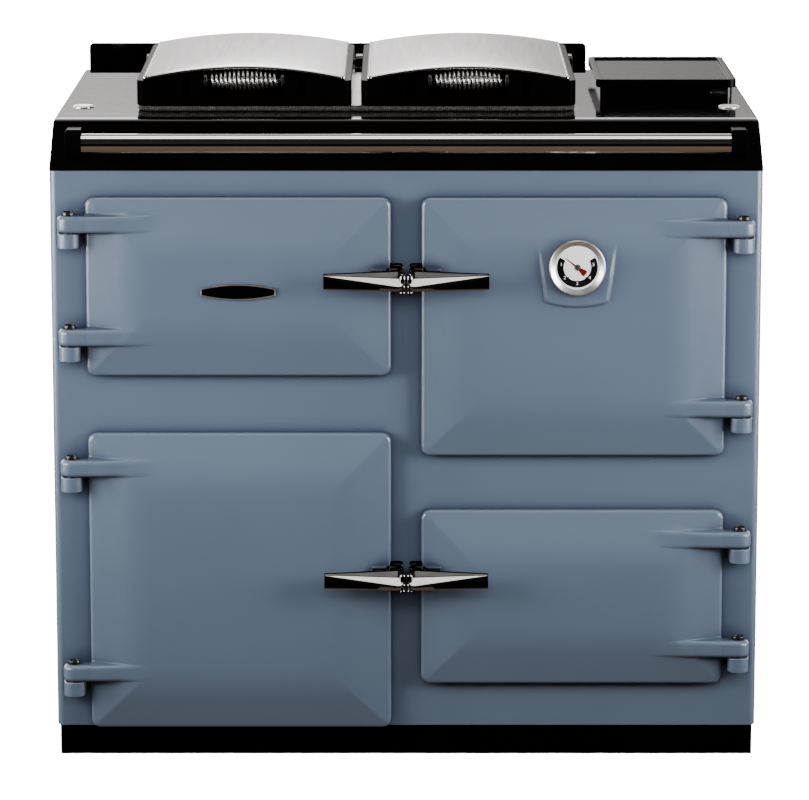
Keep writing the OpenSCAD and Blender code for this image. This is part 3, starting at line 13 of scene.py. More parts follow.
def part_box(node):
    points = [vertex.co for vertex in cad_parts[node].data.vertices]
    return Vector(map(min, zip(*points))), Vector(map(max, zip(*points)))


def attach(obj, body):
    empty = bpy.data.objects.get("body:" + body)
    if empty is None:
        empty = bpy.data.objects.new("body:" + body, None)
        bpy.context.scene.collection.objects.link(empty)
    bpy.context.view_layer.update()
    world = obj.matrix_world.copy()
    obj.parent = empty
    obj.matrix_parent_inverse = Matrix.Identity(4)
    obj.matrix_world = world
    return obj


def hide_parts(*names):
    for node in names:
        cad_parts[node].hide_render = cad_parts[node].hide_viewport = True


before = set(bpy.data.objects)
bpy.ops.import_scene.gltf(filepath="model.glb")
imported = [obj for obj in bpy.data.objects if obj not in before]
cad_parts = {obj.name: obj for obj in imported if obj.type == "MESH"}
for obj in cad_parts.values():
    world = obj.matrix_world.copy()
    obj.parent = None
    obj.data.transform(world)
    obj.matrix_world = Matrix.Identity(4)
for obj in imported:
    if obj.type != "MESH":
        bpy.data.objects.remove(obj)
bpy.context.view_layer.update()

MM = 0.001
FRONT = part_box("top_plate")[0].y  # the front casting's face
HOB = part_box("hotplate_rope_seal")[0].z  # the hob's surface

# Doors, in millimetres; heights are over a door's back plane
DOOR_GAP = 3.0  # between the front casting and a door's back
RIM_T = 13.0  # height where the rim meets the slope
RIM_R = 6.0  # rounding of the rim
FACE_RISE = 16.0  # from the rim up to the level face
SLOPE_FLAT = 46.0  # distance from the edge where the slope starts to ease
SLOPE_W = 88.0  # distance from the edge where the face is level
DOOR_CORNER_R = 13.0
RIM_W = 12.0  # width of the rim behind
LEDGE = 6.5  # depth of the recess behind
SEAL_IN = 14.5  # from a door's edge to its rope seal

# Hinge arms
ARM_H = 24.0  # from the underside to the top of an arm
ARM_EDGE = 6.6  # rounding of its edges
ARM_TOP_PIN = 32.5  # height of its front at the pin
ARM_TOP_FACE = 28.6  # and at ARM_REACH, before it sinks
ARM_FULL = 15.0  # distance from the door's edge where it starts to sink
ARM_REACH = 64.0  # and where it has sunk by ARM_SINK
ARM_SINK = 4.5
ARM_SINK_END = 1.8  # it sinks on until this many times that way
ARM_FADE = 34.0  # beyond ARM_REACH it still swells the face a little
EYE_R = 15.5  # outside of the eye round a pin
PIN_SIDE = 23.0  # from the door's edge out to the pin
PIN_FRONT = 20.0  # from the front casting out to the pin
PIN_BORE = 6.06

# The small pad over a handle's bracket, measured from the door's free edge
PAD_NEAR = 7.0
PAD_FAR = 27.0
PAD_HALF_H = 4.5
PAD_TOP = 22.0
PAD_SOFT = 0.8


# --- Small numbers ---
def smin(a, b, k):
    """The lesser of two values, with a fillet of width k where they meet."""
    h = max(k - abs(a - b), 0.0) / k
    return min(a, b) - h * h * k / 4


def smax(a, b, k):
    return -smin(-a, -b, k)


def lerp(a, b, t):
    return a + (b - a) * t


def clamp(value, low, high):
    return max(low, min(high, value))


def mid(a, b):
    return (a + b) / 2


def box_of(node):
    """The middle of a node's box in metres, and its size in millimetres."""
    low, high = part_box(node)
    return [mid(*ends) for ends in zip(low, high)], [(b - a) / MM for a, b in zip(low, high)]


def spread(low, high, count):
    """Evenly spaced values, both ends included."""
    return [lerp(low, high, i / (count - 1)) for i in range(count)]


def arc(cx, cy, r, a0, a1, count):
    """Points along an arc, with angles in degrees."""
    return [(cx + r * math.cos(math.radians(a)), cy + r * math.sin(math.radians(a)))
            for a in spread(a0, a1, count)]


def directions(count):
    """Unit steps round a full turn, as (cosine, sine) pairs."""
    angles = [2 * math.pi * i / count for i in range(count)]
    return [(math.cos(a), math.sin(a)) for a in angles]


def round_rect(x0, y0, x1, y1, r, count=7):
    return (arc(x1 - r, y1 - r, r, 0, 90, count) + arc(x0 + r, y1 - r, r, 90, 180, count)
            + arc(x0 + r, y0 + r, r, 180, 270, count) + arc(x1 - r, y0 + r, r, 270, 360, count))


# --- Materials ---
EVEN = (1, 1, 1)  # stretch of a grain that runs no way in particular
LENGTHWISE = (0.2, 1, 1)
# Painted shade in narrow gaps: the ambient occlusion samples, and the dark indigo tints that it multiplies
# into the enamel's colour
CREVICE_SHADE_SAMPLES = 8
CREVICE_SHADE_TINTS = [(0.22, (0.22, 0.18, 0.30)), (0.62, (0.58, 0.55, 0.66)), (0.93, (1, 1, 1))]


def wire(tree, node, **sockets):
    """Sets a node's sockets to values or links outputs to them; _ in a name stands for a space."""
    for name, value in sockets.items():
        socket = node.inputs[name.replace("_", " ")]
        if isinstance(value, bpy.types.NodeSocket):
            tree.links.new(value, socket)
        else:
            socket.default_value = value


def add(tree, kind, **sockets):
    node = tree.nodes.new(kind)
    wire(tree, node, **sockets)
    return node


def nodes_of(name):
    """A new material with its node tree and its shader."""
    material = bpy.data.materials.new(name)
    material.use_nodes = True
    tree = material.node_tree
    return material, tree, tree.nodes["Principled BSDF"]


def noise(tree, scale, detail=3.0, roughness=0.5, stretch=EVEN):
    """Noise over the piece's own place, at a scale in features per metre."""
    place = add(tree, "ShaderNodeTexCoord")
    mapping = add(tree, "ShaderNodeMapping", Vector=place.outputs["Object"], Scale=stretch)
    texture = add(tree, "ShaderNodeTexNoise", Vector=mapping.outputs["Vector"], Scale=scale,
                  Detail=detail, Roughness=roughness)
    return texture.outputs["Fac"]


def ramp(tree, factor, stops):
    """A colour ramp over a factor; stops are (place, colour) pairs."""
    node = add(tree, "ShaderNodeValToRGB", Fac=factor)
    elements = node.color_ramp.elements
    while len(elements) < len(stops):
        elements.new(0.5)
    for element, (place, colour) in zip(elements, stops):
        element.position = place
        element.color = (*colour, 1)
    return node.outputs["Color"]


def remap(tree, value, low, high, to_low=0.0, to_high=1.0):
    """A value's span stretched onto another span."""
    node = add(tree, "ShaderNodeMapRange", Value=value, From_Min=low, From_Max=high,
               To_Min=to_low, To_Max=to_high)
    return node.outputs["Result"]


def from_noise(tree, factor, low, high):
    """Noise, which mostly lies between 0.3 and 0.7, stretched onto a span."""
    return remap(tree, factor, 0.3, 0.7, low, high)


def tint(tree, factor, dark, light):
    """Noise as a colour between two."""
    return ramp(tree, factor, [(0.3, dark), (0.7, light)])


def colour_mix(tree, kind, one, two, factor=1.0):
    node = tree.nodes.new("ShaderNodeMix")
    node.data_type = "RGBA"
    node.blend_type = kind
    wire(tree, node, Factor=factor)
    tree.links.new(one, node.inputs[6])
    tree.links.new(two, node.inputs[7])
    return node.outputs[2]


def bump(tree, height, strength, distance, **under):
    node = add(tree, "ShaderNodeBump", Height=height, Strength=strength, Distance=distance, **under)
    return node.outputs["Normal"]


def enamel(name, light, dark, roughness, coat=0.0, coat_roughness=0.1, ripple=0.03, ior=1.5, crevice_shade=None):
    """Vitreous enamel: a coloured ground under a faintly rippled skin, with painted shade that darkens it in
    narrow gaps.
    """
    material, tree, shader = nodes_of(name)
    colour = tint(tree, noise(tree, 7.0, 4.0), dark, light)
    # Painted shade: ambient occlusion darkens the colour towards indigo in gaps and crevices
    if crevice_shade:
        shade = add(tree, "ShaderNodeAmbientOcclusion", Distance=crevice_shade)
        shade.samples = CREVICE_SHADE_SAMPLES
        colour = colour_mix(tree, "MULTIPLY", colour, ramp(tree, shade.outputs["AO"], CREVICE_SHADE_TINTS))
    polish = from_noise(tree, noise(tree, 90.0), roughness * 0.8, roughness * 1.2)
    swell = bump(tree, noise(tree, 22.0, 2.0), ripple, 0.002)
    fine = bump(tree, noise(tree, 420.0, 2.0), ripple * 0.5, 0.0002, Normal=swell)
    wire(tree, shader, Base_Color=colour, Roughness=polish, IOR=ior, Coat_Weight=coat,
         Coat_Roughness=coat_roughness, Normal=fine, Coat_Normal=swell)
    return material


def metal(name, light, dark, rough_low, rough_high, grain, stretch=EVEN, depth=0.05):
    """Bare or plated metal whose polish varies with its grain."""
    material, tree, shader = nodes_of(name)
    streak = noise(tree, grain, 5.0, 0.6, stretch)
    wire(tree, shader, Metallic=1.0, Base_Color=tint(tree, noise(tree, 12.0), dark, light),
         Roughness=from_noise(tree, streak, rough_low, rough_high), Normal=bump(tree, streak, depth, 0.0002))
    return material


def coarse(name, light, dark, roughness, metallic, grain, depth, distance=0.0006):
    """Rough stuff, such as cast iron, rope fibre and mineral wool."""
    material, tree, shader = nodes_of(name)
    grains = noise(tree, grain, 6.0, 0.65)
    patches = noise(tree, grain / 12)
    both = tree.nodes.new("ShaderNodeMath")
    both.operation = "MULTIPLY"
    tree.links.new(grains, both.inputs[0])
    tree.links.new(patches, both.inputs[1])
    wire(tree, shader, Metallic=metallic, Normal=bump(tree, grains, depth, distance),
         Base_Color=ramp(tree, both.outputs[0], [(0.12, dark), (0.42, light)]),
         Roughness=from_noise(tree, patches, roughness * 0.85, min(1.0, roughness * 1.15)))
    return material


def clear_glass(name):
    """Thin clear glass: it mirrors by its angle and lets the rest of the light straight through."""
    material, tree, shader = nodes_of(name)
    tree.nodes.remove(shader)
    mirror = add(tree, "ShaderNodeBsdfGlossy", Roughness=from_noise(tree, noise(tree, 60.0), 0.01, 0.04))
    through = add(tree, "ShaderNodeBsdfTransparent", Color=(0.97, 0.98, 0.98, 1))
    fresnel = add(tree, "ShaderNodeFresnel", IOR=1.4)
    shaders_mixed(tree, fresnel.outputs["Fac"], through, mirror, tree.nodes["Material Output"])
    return material


def shaders_mixed(tree, factor, one, two, output):
    """Leads two shaders to the output, the second by the factor's share."""
    mix = add(tree, "ShaderNodeMixShader", Fac=factor)
    tree.links.new(one.outputs[0], mix.inputs[1])
    tree.links.new(two.outputs[0], mix.inputs[2])
    wire(tree, output, Surface=mix.outputs["Shader"])


def printed(name, light, dark, roughness, painted_glow=0.0):
    """Print or paint on the dial, with a trace of unevenness; a glow, where given, is painted light that
    makes it shine brighter than the lamps light it.
    """
    material, tree, shader = nodes_of(name)
    # The emission is painted light, not a lamp
    wire(tree, shader, Base_Color=tint(tree, noise(tree, 300.0), dark, light),
         Emission_Color=(*light, 1), Emission_Strength=painted_glow,
         Roughness=from_noise(tree, noise(tree, 700.0), roughness * 0.9, roughness * 1.1))
    return material


# The blue enamel carries painted shade in gaps, out to 24 mm
BLUE = enamel("blue_enamel", (0.108, 0.148, 0.206), (0.102, 0.141, 0.198), 0.42, 0.8, 0.22, crevice_shade=0.024)
BLACK = enamel("black_enamel", (0.0012, 0.0012, 0.0013), (0.0008, 0.0008, 0.0009), 0.06,
               ripple=0.02, ior=1.42)
COVER, LID = [enamel(name, (0.0014, 0.0014, 0.0015), (0.0009, 0.0009, 0.001), 0.07, ripple=0.02, ior=ior)
              for name, ior in (("cover_enamel", 1.12), ("lid_enamel", 1.03))]
OXIDE = enamel("black_oxide", (0.014, 0.013, 0.013), (0.006, 0.006, 0.006), 0.30, ripple=0.10)
STEEL = metal("polished_steel", (0.92, 0.905, 0.90), (0.88, 0.865, 0.86), 0.07, 0.10, 160.0,
              (1, 0.05, 1), 0.04)
COIL = metal("coil_steel", (0.74, 0.71, 0.69), (0.60, 0.58, 0.56), 0.24, 0.30, 400.0)
DARK_CHROME = metal("dark_chrome", (0.46, 0.455, 0.45), (0.40, 0.395, 0.39), 0.05, 0.09, 90.0,
                    LENGTHWISE, 0.03)
GRIP_FLAT = metal("grip_flat", (0.40, 0.395, 0.39), (0.33, 0.325, 0.32), 0.42, 0.50, 160.0, LENGTHWISE, 0.03)
BLACK_CHROME = metal("black_chrome", (0.20, 0.198, 0.195), (0.16, 0.158, 0.155), 0.05, 0.09, 90.0,
                     EVEN, 0.03)
RAIL = metal("bright_rail", (0.80, 0.77, 0.74), (0.72, 0.69, 0.66), 0.05, 0.10, 140.0, (0.03, 1, 1), 0.03)
BEZEL_SATIN = metal("bezel_satin", (0.97, 0.97, 0.965), (0.93, 0.93, 0.925), 0.34, 0.38, 200.0, EVEN, 0.01)
IRON = coarse("bare_cast_iron", (0.105, 0.100, 0.096), (0.035, 0.033, 0.032), 0.55, 0.55, 900.0, 0.5)
ZINC = metal("plated_steel", (0.56, 0.57, 0.58), (0.48, 0.49, 0.50), 0.30, 0.42, 70.0)
ROPE = coarse("rope", (0.115, 0.103, 0.092), (0.022, 0.019, 0.017), 0.9, 0.0, 1600.0, 0.8, 0.0004)
PALE_ROPE = metal("pale_rope", (0.50, 0.48, 0.47), (0.36, 0.345, 0.335), 0.25, 0.40, 300.0)
WOOL = coarse("wool", (0.62, 0.58, 0.44), (0.34, 0.31, 0.22), 0.95, 0.0, 300.0, 1.0, 0.004)
GLASS = clear_glass("glass")
# The dial and its figures glow a little: painted light that keeps them bright white
DIAL = printed("dial", (0.85, 0.85, 0.84), (0.82, 0.82, 0.81), 0.45, 1.35)
INK = printed("dial_ink", (0.012, 0.012, 0.013), (0.008, 0.008, 0.009), 0.4)
PAINT_RED = printed("pointer_red", (0.50, 0.022, 0.012), (0.44, 0.018, 0.010), 0.35)
BURNER_RED = enamel("burner_red", (0.22, 0.022, 0.016), (0.19, 0.018, 0.013), 0.35, 0.4)


# --- Pieces ---
def folds(bm, angle):
    """Edges where two faces meet at more than an angle in degrees."""
    return [e for e in bm.edges if len(e.link_faces) == 2 and e.calc_face_angle(0) > math.radians(angle)]


def piece(name, bm, material, body, stands_for=(), sharp=38.0):
    """Makes a scene piece from a mesh, shades it and lets it ride on its body."""
    bmesh.ops.remove_doubles(bm, verts=bm.verts, dist=2e-6)
    loose = [v for v in bm.verts if not v.link_faces]
    bmesh.ops.delete(bm, geom=loose, context="VERTS")
    bmesh.ops.recalc_face_normals(bm, faces=bm.faces)
    for part in bm.faces[:] + bm.edges[:]:
        part.smooth = True
    for edge in folds(bm, sharp):
        edge.smooth = False
    mesh = bpy.data.meshes.new(name)
    bm.to_mesh(mesh)
    bm.free()
    mesh.materials.append(material)
    made = bpy.data.objects.new(name, mesh)
    bpy.context.scene.collection.objects.link(made)
    made.modifiers.new("normals", "WEIGHTED_NORMAL").keep_sharp = True
    if stands_for:
        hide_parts(*stands_for)
    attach(made, body)
    return made


def cad_copy(node):
    """A CAD node's mesh to work on, its flat faces made whole."""
    bm = bmesh.new()
    bm.from_mesh(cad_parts[node].data)
    bmesh.ops.remove_doubles(bm, verts=bm.verts, dist=5e-6)
    bmesh.ops.dissolve_limit(bm, angle_limit=math.radians(0.5), verts=bm.verts, edges=bm.edges)
    return bm


def softened(node, width, material, body, angle=50.0):
    """The CAD piece with its edges rounded, standing for its node."""
    bm = cad_copy(node)
    bmesh.ops.bevel(bm, geom=folds(bm, angle), offset=width * MM, offset_type="OFFSET", segments=3,
                    profile=0.5, affect="EDGES", clamp_overlap=False)
    return piece(node + "_piece", bm, material, body, (node,))


def sweep(bm, rings, closed_path=False, caps=True):
    """Skins rings of equally many points into a tube; returns the rings' vertices."""
    made = [[bm.verts.new(p) for p in ring] for ring in rings]
    count = len(made[0])
    pairs = list(zip(made, made[1:]))
    if closed_path:
        pairs.append((made[-1], made[0]))
    for a, b in pairs:
        for i in range(count):
            j = (i + 1) % count
            bm.faces.new((a[i], a[j], b[j], b[i]))
    if caps and not closed_path:
        bm.faces.new(made[0])
        bm.faces.new(made[-1][::-1])
    return made


def lathe(bm, profile, place, steps=48):
    """Turns (radius, height) points about an axis; place maps (u, v, height) to a point.

    A point on the axis becomes a ring of next to no width, which piece() merges.
    """
    spokes = directions(steps)
    sweep(bm, [[place(max(r, 1e-5) * c, max(r, 1e-5) * s, h) for c, s in spokes] for r, h in profile])


def along_y(x, y, z):
    """Maps lathe points in millimetres to an axis along -Y through a point in metres."""
    return lambda u, v, h: (x + u * MM, y - h * MM, z + v * MM)


def along_z(x, y, z):
    return lambda u, v, h: (x + u * MM, y + v * MM, z + h * MM)


def along_x(x, y, z):
    return lambda u, v, h: (x + h * MM, y + u * MM, z + v * MM)


def inset(outline, d):
    """An outline moved inward by d; the points run anticlockwise."""
    moved = []
    for i in range(len(outline)):
        a, b, c = [Vector(outline[k % len(outline)]) for k in (i - 1, i, i + 1)]
        before = (b - a).normalized() if (b - a).length > 1e-9 else (c - b).normalized()
        after = (c - b).normalized() if (c - b).length > 1e-9 else before
        out = Vector((-before.y - after.y, before.x + after.x))
        out = out / max(out.length_squared, 1e-6) * 2
        moved.append((b.x + out.x * d, b.y + out.y * d))
    return moved


def layers(outline, levels, place):
    """Rings of an outline, each moved inward and set at a height by (distance, height) levels."""
    return [[place(x, y, h) for x, y in inset(outline, d)] for d, h in levels]


def slab(bm, outline, low, high, edge, place, holes=(), steps=5):
    """An extruded outline with rounded rims and, if given, round holes as (x, y, radius)."""
    levels = []
    for k in range(steps + 1):
        a = math.pi / 2 * k / steps
        levels.append((edge * (1 - math.sin(a)), low + edge * (1 - math.cos(a))))
    levels += [(d, high + low - h) for d, h in reversed(levels)]
    made = sweep(bm, layers(outline, levels, place), caps=False)
    bores = []
    for cx, cy, r in holes:
        lip = min(0.6, edge / 2)
        ways = [(r + lip, low), (r, low + lip), (r, high - lip), (r + lip, high)]
        bores.append(sweep(bm, [[place(cx + q * c, cy + q * s, h) for c, s in directions(32)]
                                for q, h in ways], caps=False))
    for end in (0, -1):
        edges = []
        for loop in [made[end]] + [bore[end] for bore in bores]:
            for i, v in enumerate(loop):
                edges.append(bm.edges.get((v, loop[(i + 1) % len(loop)])))
        bmesh.ops.triangle_fill(bm, use_beauty=True, use_dissolve=False, edges=edges)


def tube(bm, path, radius, sides=12):
    """A round tube along points."""
    points = [Vector(p) for p in path]
    rings = []
    for i, p in enumerate(points):
        forward = (points[min(i + 1, len(points) - 1)] - points[max(i - 1, 0)]).normalized()
        side = forward.cross(Vector((0, 0, 1)))
        if side.length < 1e-4:
            side = forward.cross(Vector((0, 1, 0)))
        side.normalize()
        lift = side.cross(forward)
        rings.append([p + side * (radius * c) + lift * (radius * s) for c, s in directions(sides)])
    sweep(bm, rings)


# --- Doors ---
def cushion(d):
    """A door's thickness at a distance in from its edge: round rim, even slope, easing to the face."""
    if d < RIM_R:
        return RIM_T - RIM_R + math.sqrt(max(0.0, RIM_R ** 2 - (RIM_R - d) ** 2))
    ease = SLOPE_W - SLOPE_FLAT
    slope = FACE_RISE / (SLOPE_FLAT - RIM_R + ease / 2)
    if d < SLOPE_FLAT:
        return RIM_T + slope * (d - RIM_R)
    if d < SLOPE_W:
        return RIM_T + FACE_RISE - slope * (SLOPE_W - d) ** 2 / (2 * ease)
    return RIM_T + FACE_RISE


def skin_square(bm, corners, middle_y):
    """A grid square, whole if it is flat or else cut along the diagonal nearer its true middle."""
    a, b, c, d = corners
    one = abs((a.co.y + c.co.y) / 2 - middle_y)
    two = abs((b.co.y + d.co.y) / 2 - middle_y)
    if abs(one - two) < 0.03 * MM:
        bm.faces.new(corners)
    elif one < two:
        bm.faces.new((a, b, c))
        bm.faces.new((a, c, d))
    else:
        bm.faces.new((a, b, d))
        bm.faces.new((b, c, d))


def rounded_wall(depth_in, top, r, fall):
    """Height of a raised shape at a depth inside its outline: level, a rounded shoulder, a steep wall."""
    if depth_in >= r:
        return top
    if depth_in > 0:
        return top - r + math.sqrt(r * r - (r - depth_in) ** 2)
    return top - r + depth_in * fall


def arm_top(s):
    """Height of a hinge arm's front, at s in from the door's hinge edge."""
    return lerp(ARM_TOP_PIN, ARM_TOP_FACE, clamp((s + PIN_SIDE) / (ARM_REACH + PIN_SIDE), 0, 1))


class Door:
    """One door's casting, in millimetres from its hinge edge (s) and from its bottom (t)."""

    def __init__(self, name, side):
        """Takes its size from its rope seal; side is -1 on the left and 1 on the right."""
        self.name = name
        self.side = side
        low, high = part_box(name + "_rope_seal")
        self.z0 = low.z / MM - SEAL_IN
        near, far = sorted([abs(low.x) / MM, abs(high.x) / MM])
        self.x_out = far + SEAL_IN
        self.width = self.x_out - (near - SEAL_IN)
        self.height = high.z / MM + SEAL_IN - self.z0
        self.arms = self.arm_middles(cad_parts[name + "_door"].data)
        self.handle = box_of(name + "_handle_bracket")[0][2] / MM - self.z0
        self.boss = None

    def arm_middles(self, mesh):
        """Heights of the two arms, from the CAD's points that stand out past the hinge edge."""
        levels = sorted({round(v.co.z / MM, 1) for v in mesh.vertices if abs(v.co.x) / MM > self.x_out + 5})
        middle = mid(levels[0], levels[-1])
        lower = [z for z in levels if z < middle]
        upper = [z for z in levels if z > middle]
        return [mid(lower[0], lower[-1]) - self.z0, mid(upper[0], upper[-1]) - self.z0]

    def at(self, s, t, height):
        """A point of the casting in the frame."""
        return (self.side * (self.x_out - s) * MM, FRONT - (DOOR_GAP + height) * MM, (self.z0 + t) * MM)

    def surface(self, s, t):
        """Height of the casting's front: the cushion, the arms running into it, the pad and the boss."""
        ds = min(s, self.width - s)
        dt = min(t, self.height - t)
        d = max(0.0, smin(ds, dt, 2.5) if min(ds, dt) > RIM_R else min(ds, dt))
        height = cushion(d)
        if s < ARM_REACH + ARM_FADE:
            far = clamp((s - ARM_FULL) / (ARM_REACH - ARM_FULL), 0, ARM_SINK_END)
            for arm in self.arms:
                top = arm_top(s) - ARM_SINK * far * far
                ridge = rounded_wall(ARM_H / 2 - abs(t - arm), top, ARM_EDGE, lerp(6.0, 1.0, min(far, 1)))
                blend = clamp(s, 1.0, 5.0) + 6.0 * min(far, 1)
                if ridge > height - blend:
                    height = smax(height, ridge, blend)
        pad = min(self.width - PAD_NEAR - s, s - (self.width - PAD_FAR), PAD_HALF_H - abs(t - self.handle))
        if pad > -4:
            height = smax(height, rounded_wall(pad, PAD_TOP, PAD_SOFT, 5.0), PAD_SOFT)
        if self.boss:
            height = self.boss(s, t, height)
        return height

    def lines(self, length, spans):
        """Grid lines across one side: close together at the rim, on the slopes and over the spans."""
        near = [0, 0.45, 1.7, 3.6, RIM_R, 7.5, DOOR_CORNER_R, 11, 13, 15.5] + spread(18, SLOPE_W, 26)
        values = set(near) | {length - v for v in near}
        values |= set(spread(SLOPE_W, length - SLOPE_W, max(2, int((length - 2 * SLOPE_W) / 10))))
        for low, high, step in spans:
            values |= set(spread(low, high, int((high - low) / step) + 1))
        ordered = []
        for v in sorted(values):
            if 0 <= v <= length and (not ordered or v - ordered[-1] > 0.3):
                ordered.append(v)
        ordered[-1] = length
        return ordered

    def corner(self, s, t):
        """Moves a grid point of the square corner onto the door's round corner."""
        r = DOOR_CORNER_R
        cs = clamp(s, r, self.width - r)
        ct = clamp(t, r, self.height - r)
        ps = s - cs
        pt = t - ct
        if ps == 0 or pt == 0:
            return s, t
        k = max(abs(ps), abs(pt)) / math.hypot(ps, pt)
        return cs + ps * k, ct + pt * k

    def build(self, more_s=(), more_t=()):
        """Makes the casting; more_s and more_t are further spans of close grid lines, with their step."""
        arm_edges = []
        for arm in self.arms:
            for edge in (arm - ARM_H / 2, arm + ARM_H / 2):
                arm_edges.append((edge - 4.5, edge + 4.5, 0.75))
        pad = (self.width - (PAD_FAR + 2), self.width - (PAD_NEAR - 2), 1.0)
        across = self.lines(self.width, [pad, *more_s])
        up = self.lines(self.height, [*arm_edges, (self.handle - 10, self.handle + 10, 1.0), *more_t])
        bm = bmesh.new()
        grid = []
        for s in across:
            row = []
            for t in up:
                ws, wt = self.corner(s, t)
                row.append(bm.verts.new(self.at(ws, wt, self.surface(s, t))))
            grid.append(row)
        for i in range(len(across) - 1):
            for j in range(len(up) - 1):
                middle = self.surface(mid(across[i], across[i + 1]), mid(up[j], up[j + 1]))
                corners = (grid[i][j], grid[i + 1][j], grid[i + 1][j + 1], grid[i][j + 1])
                skin_square(bm, corners, FRONT - (DOOR_GAP + middle) * MM)
        self.close_back(bm, grid, across, up)
        for arm in self.arms:
            self.arm(bm, arm)
        casting = piece(self.name + "_casting", bm, BLUE, "door_" + self.name,
                        (self.name + "_door",))
        casting.visible_glossy = False

    def close_back(self, bm, grid, across, up):
        """The edge round the back, the rim behind and the recess that the liner sits in."""
        n = len(across) - 1
        m = len(up) - 1
        loop = ([(i, 0) for i in range(n)] + [(n, j) for j in range(m)]
                + [(i, m) for i in range(n, 0, -1)] + [(0, j) for j in range(m, 0, -1)])
        previous = [grid[i][j] for i, j in loop]
        for margin, height in ((0.0, 0.6), (0.6, 0.0), (RIM_W, 0.0), (RIM_W, LEDGE)):
            ring = []
            for i, j in loop:
                s, t = self.corner(across[i], up[j])
                s = clamp(s, margin, self.width - margin)
                t = clamp(t, margin, self.height - margin)
                ring.append(bm.verts.new(self.at(s, t, height)))
            for k in range(len(ring)):
                q = (k + 1) % len(ring)
                bm.faces.new((previous[k], previous[q], ring[q], ring[k]))
            previous = ring
        bm.faces.new(previous)

    def arm(self, bm, arm):
        """The free end of a hinge arm: a bar with a rounded eye round the pin."""
        pin = self.x_out + PIN_SIDE

        def place(x, y, z):
            return (self.side * x * MM, FRONT + y * MM, (self.z0 + z) * MM)

        outline = arc(pin, -PIN_FRONT, EYE_R, 90, -90, 19)
        for inward, sunk in ((0.3, 0.0), (8.0, 3.0)):
            outline.append((self.x_out - inward, sunk - DOOR_GAP - arm_top(inward)))
        outline += [(self.x_out - 8.0, -14), (self.x_out - 4.0, -5.4)]
        slab(bm, outline[::-1], arm - ARM_H / 2, arm + ARM_H / 2, ARM_EDGE, place,
             [(pin, -PIN_FRONT, PIN_BORE)], 6)


DOORS = [Door("upper_left", -1), Door("upper_right", 1), Door("lower_left", -1), Door("lower_right", 1)]

# The thermometer and the raised shield under it, on the upper right door
(GAUGE_X, _, GAUGE_Z), _ = box_of("thermometer_glass")
BEZEL_R = 39.0
BOSS_RISE = 5.0
BOSS_HALF_W = 64.0  # the shield lies within these of the dial's middle
BOSS_LOW = -68.0
BOSS_HIGH = 60.0
BOSS_FADE = 34.0  # it starts to rise from here down, over BOSS_RUN
BOSS_RUN = 50.0
BOSS_WALL = 5.0  # width of its sloping edge
GAUGE_WELL = 14.0  # depth of the recess that the bezel covers
BOSS_OUTLINE = (arc(-36.5, -44.5, 6.5, 188, 250, 5) + arc(0, 90, 146, 256, 284, 15)
                + arc(36.5, -44.5, 6.5, 290, 352, 5) + [(53, 30), (53, 60), (-53, 60), (-53, 30)])


def boss_surface(s, t, height):
    """The shield under the thermometer: flush at its top, proud of the door's face at its foot."""
    door = DOORS[1]
    u = (door.x_out - s) - GAUGE_X / MM
    v = door.z0 + t - GAUGE_Z / MM
    if abs(u) > BOSS_HALF_W or v < BOSS_LOW or v > BOSS_HIGH:
        return height
    depth = math.inf
    for (ax, ay), (bx, by) in zip(BOSS_OUTLINE, BOSS_OUTLINE[1:] + BOSS_OUTLINE[:1]):
        length = math.hypot(bx - ax, by - ay)
        depth = min(depth, ((bx - ax) * (v - ay) - (by - ay) * (u - ax)) / length)
    rise = BOSS_RISE * clamp((BOSS_FADE - v) / BOSS_RUN, 0, 1)
    wall = clamp(depth / BOSS_WALL + 0.5, 0, 1)
    height += rise * wall * wall * (3 - 2 * wall)
    if math.hypot(u, v) < BEZEL_R - 4:
        height -= GAUGE_WELL
    return height


DOORS[1].boss = boss_surface
gauge_s = DOORS[1].x_out - GAUGE_X / MM
gauge_t = GAUGE_Z / MM - DOORS[1].z0
for door in DOORS:
    if door.boss:
        door.build([(gauge_s - 62, gauge_s + 62, 1.6)], [(gauge_t - 66, gauge_t + 42, 1.6)])
    else:
        door.build()


# --- Hinge pins ---
PIN_HEAD = [(0.0, 4.4), (2.2, 4.4), (2.8, 3.6), (4.6, 3.6), (5.4, 4.8), (6.8, 5.0), (8.0, 4.4), (8.5, 3.2),
            (8.5, 0.4), (8.1, 0.0), (6.0, 0.0)]
PIN_R = 6.0
PIN_CLEAR = 0.3  # under a pin's head
LUG_GAP = 0.8  # between an arm and the lug below it
LUG_H = 21.0


def hinge_pins():
    """Pins with a dished and ringed head, and the lids' two hinge rods."""
    bm = bmesh.new()
    foot = -ARM_H - PIN_CLEAR - LUG_GAP - LUG_H
    for door in DOORS:
        x = door.side * (door.x_out + PIN_SIDE) * MM
        y = FRONT - PIN_FRONT * MM
        for arm in door.arms:
            z = (door.z0 + arm + ARM_H / 2 + PIN_CLEAR) * MM
            lathe(bm, PIN_HEAD + [(PIN_R, foot), (0, foot)], along_z(x, y, z), 32)
    rods = [v.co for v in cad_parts["hinge_pins"].data.vertices if v.co.y > 0]
    xs = sorted(v.x for v in rods)
    y = mid(min(v.y for v in rods), max(v.y for v in rods))
    z = mid(min(v.z for v in rods), max(v.z for v in rods))
    middle = mid(xs[0], xs[-1])
    for low, high in ((xs[0], middle - 0.3 * MM), (middle + 0.3 * MM, xs[-1])):
        length = (high - low) / MM
        lathe(bm, [(0, 0), (4.4, 0), (5.0, 0.6), (5.0, length - 0.6), (4.4, length), (0, length)],
              along_x(low, y, z), 32)
    piece("pins_and_rods", bm, OXIDE, "root", ("hinge_pins",))


hinge_pins()


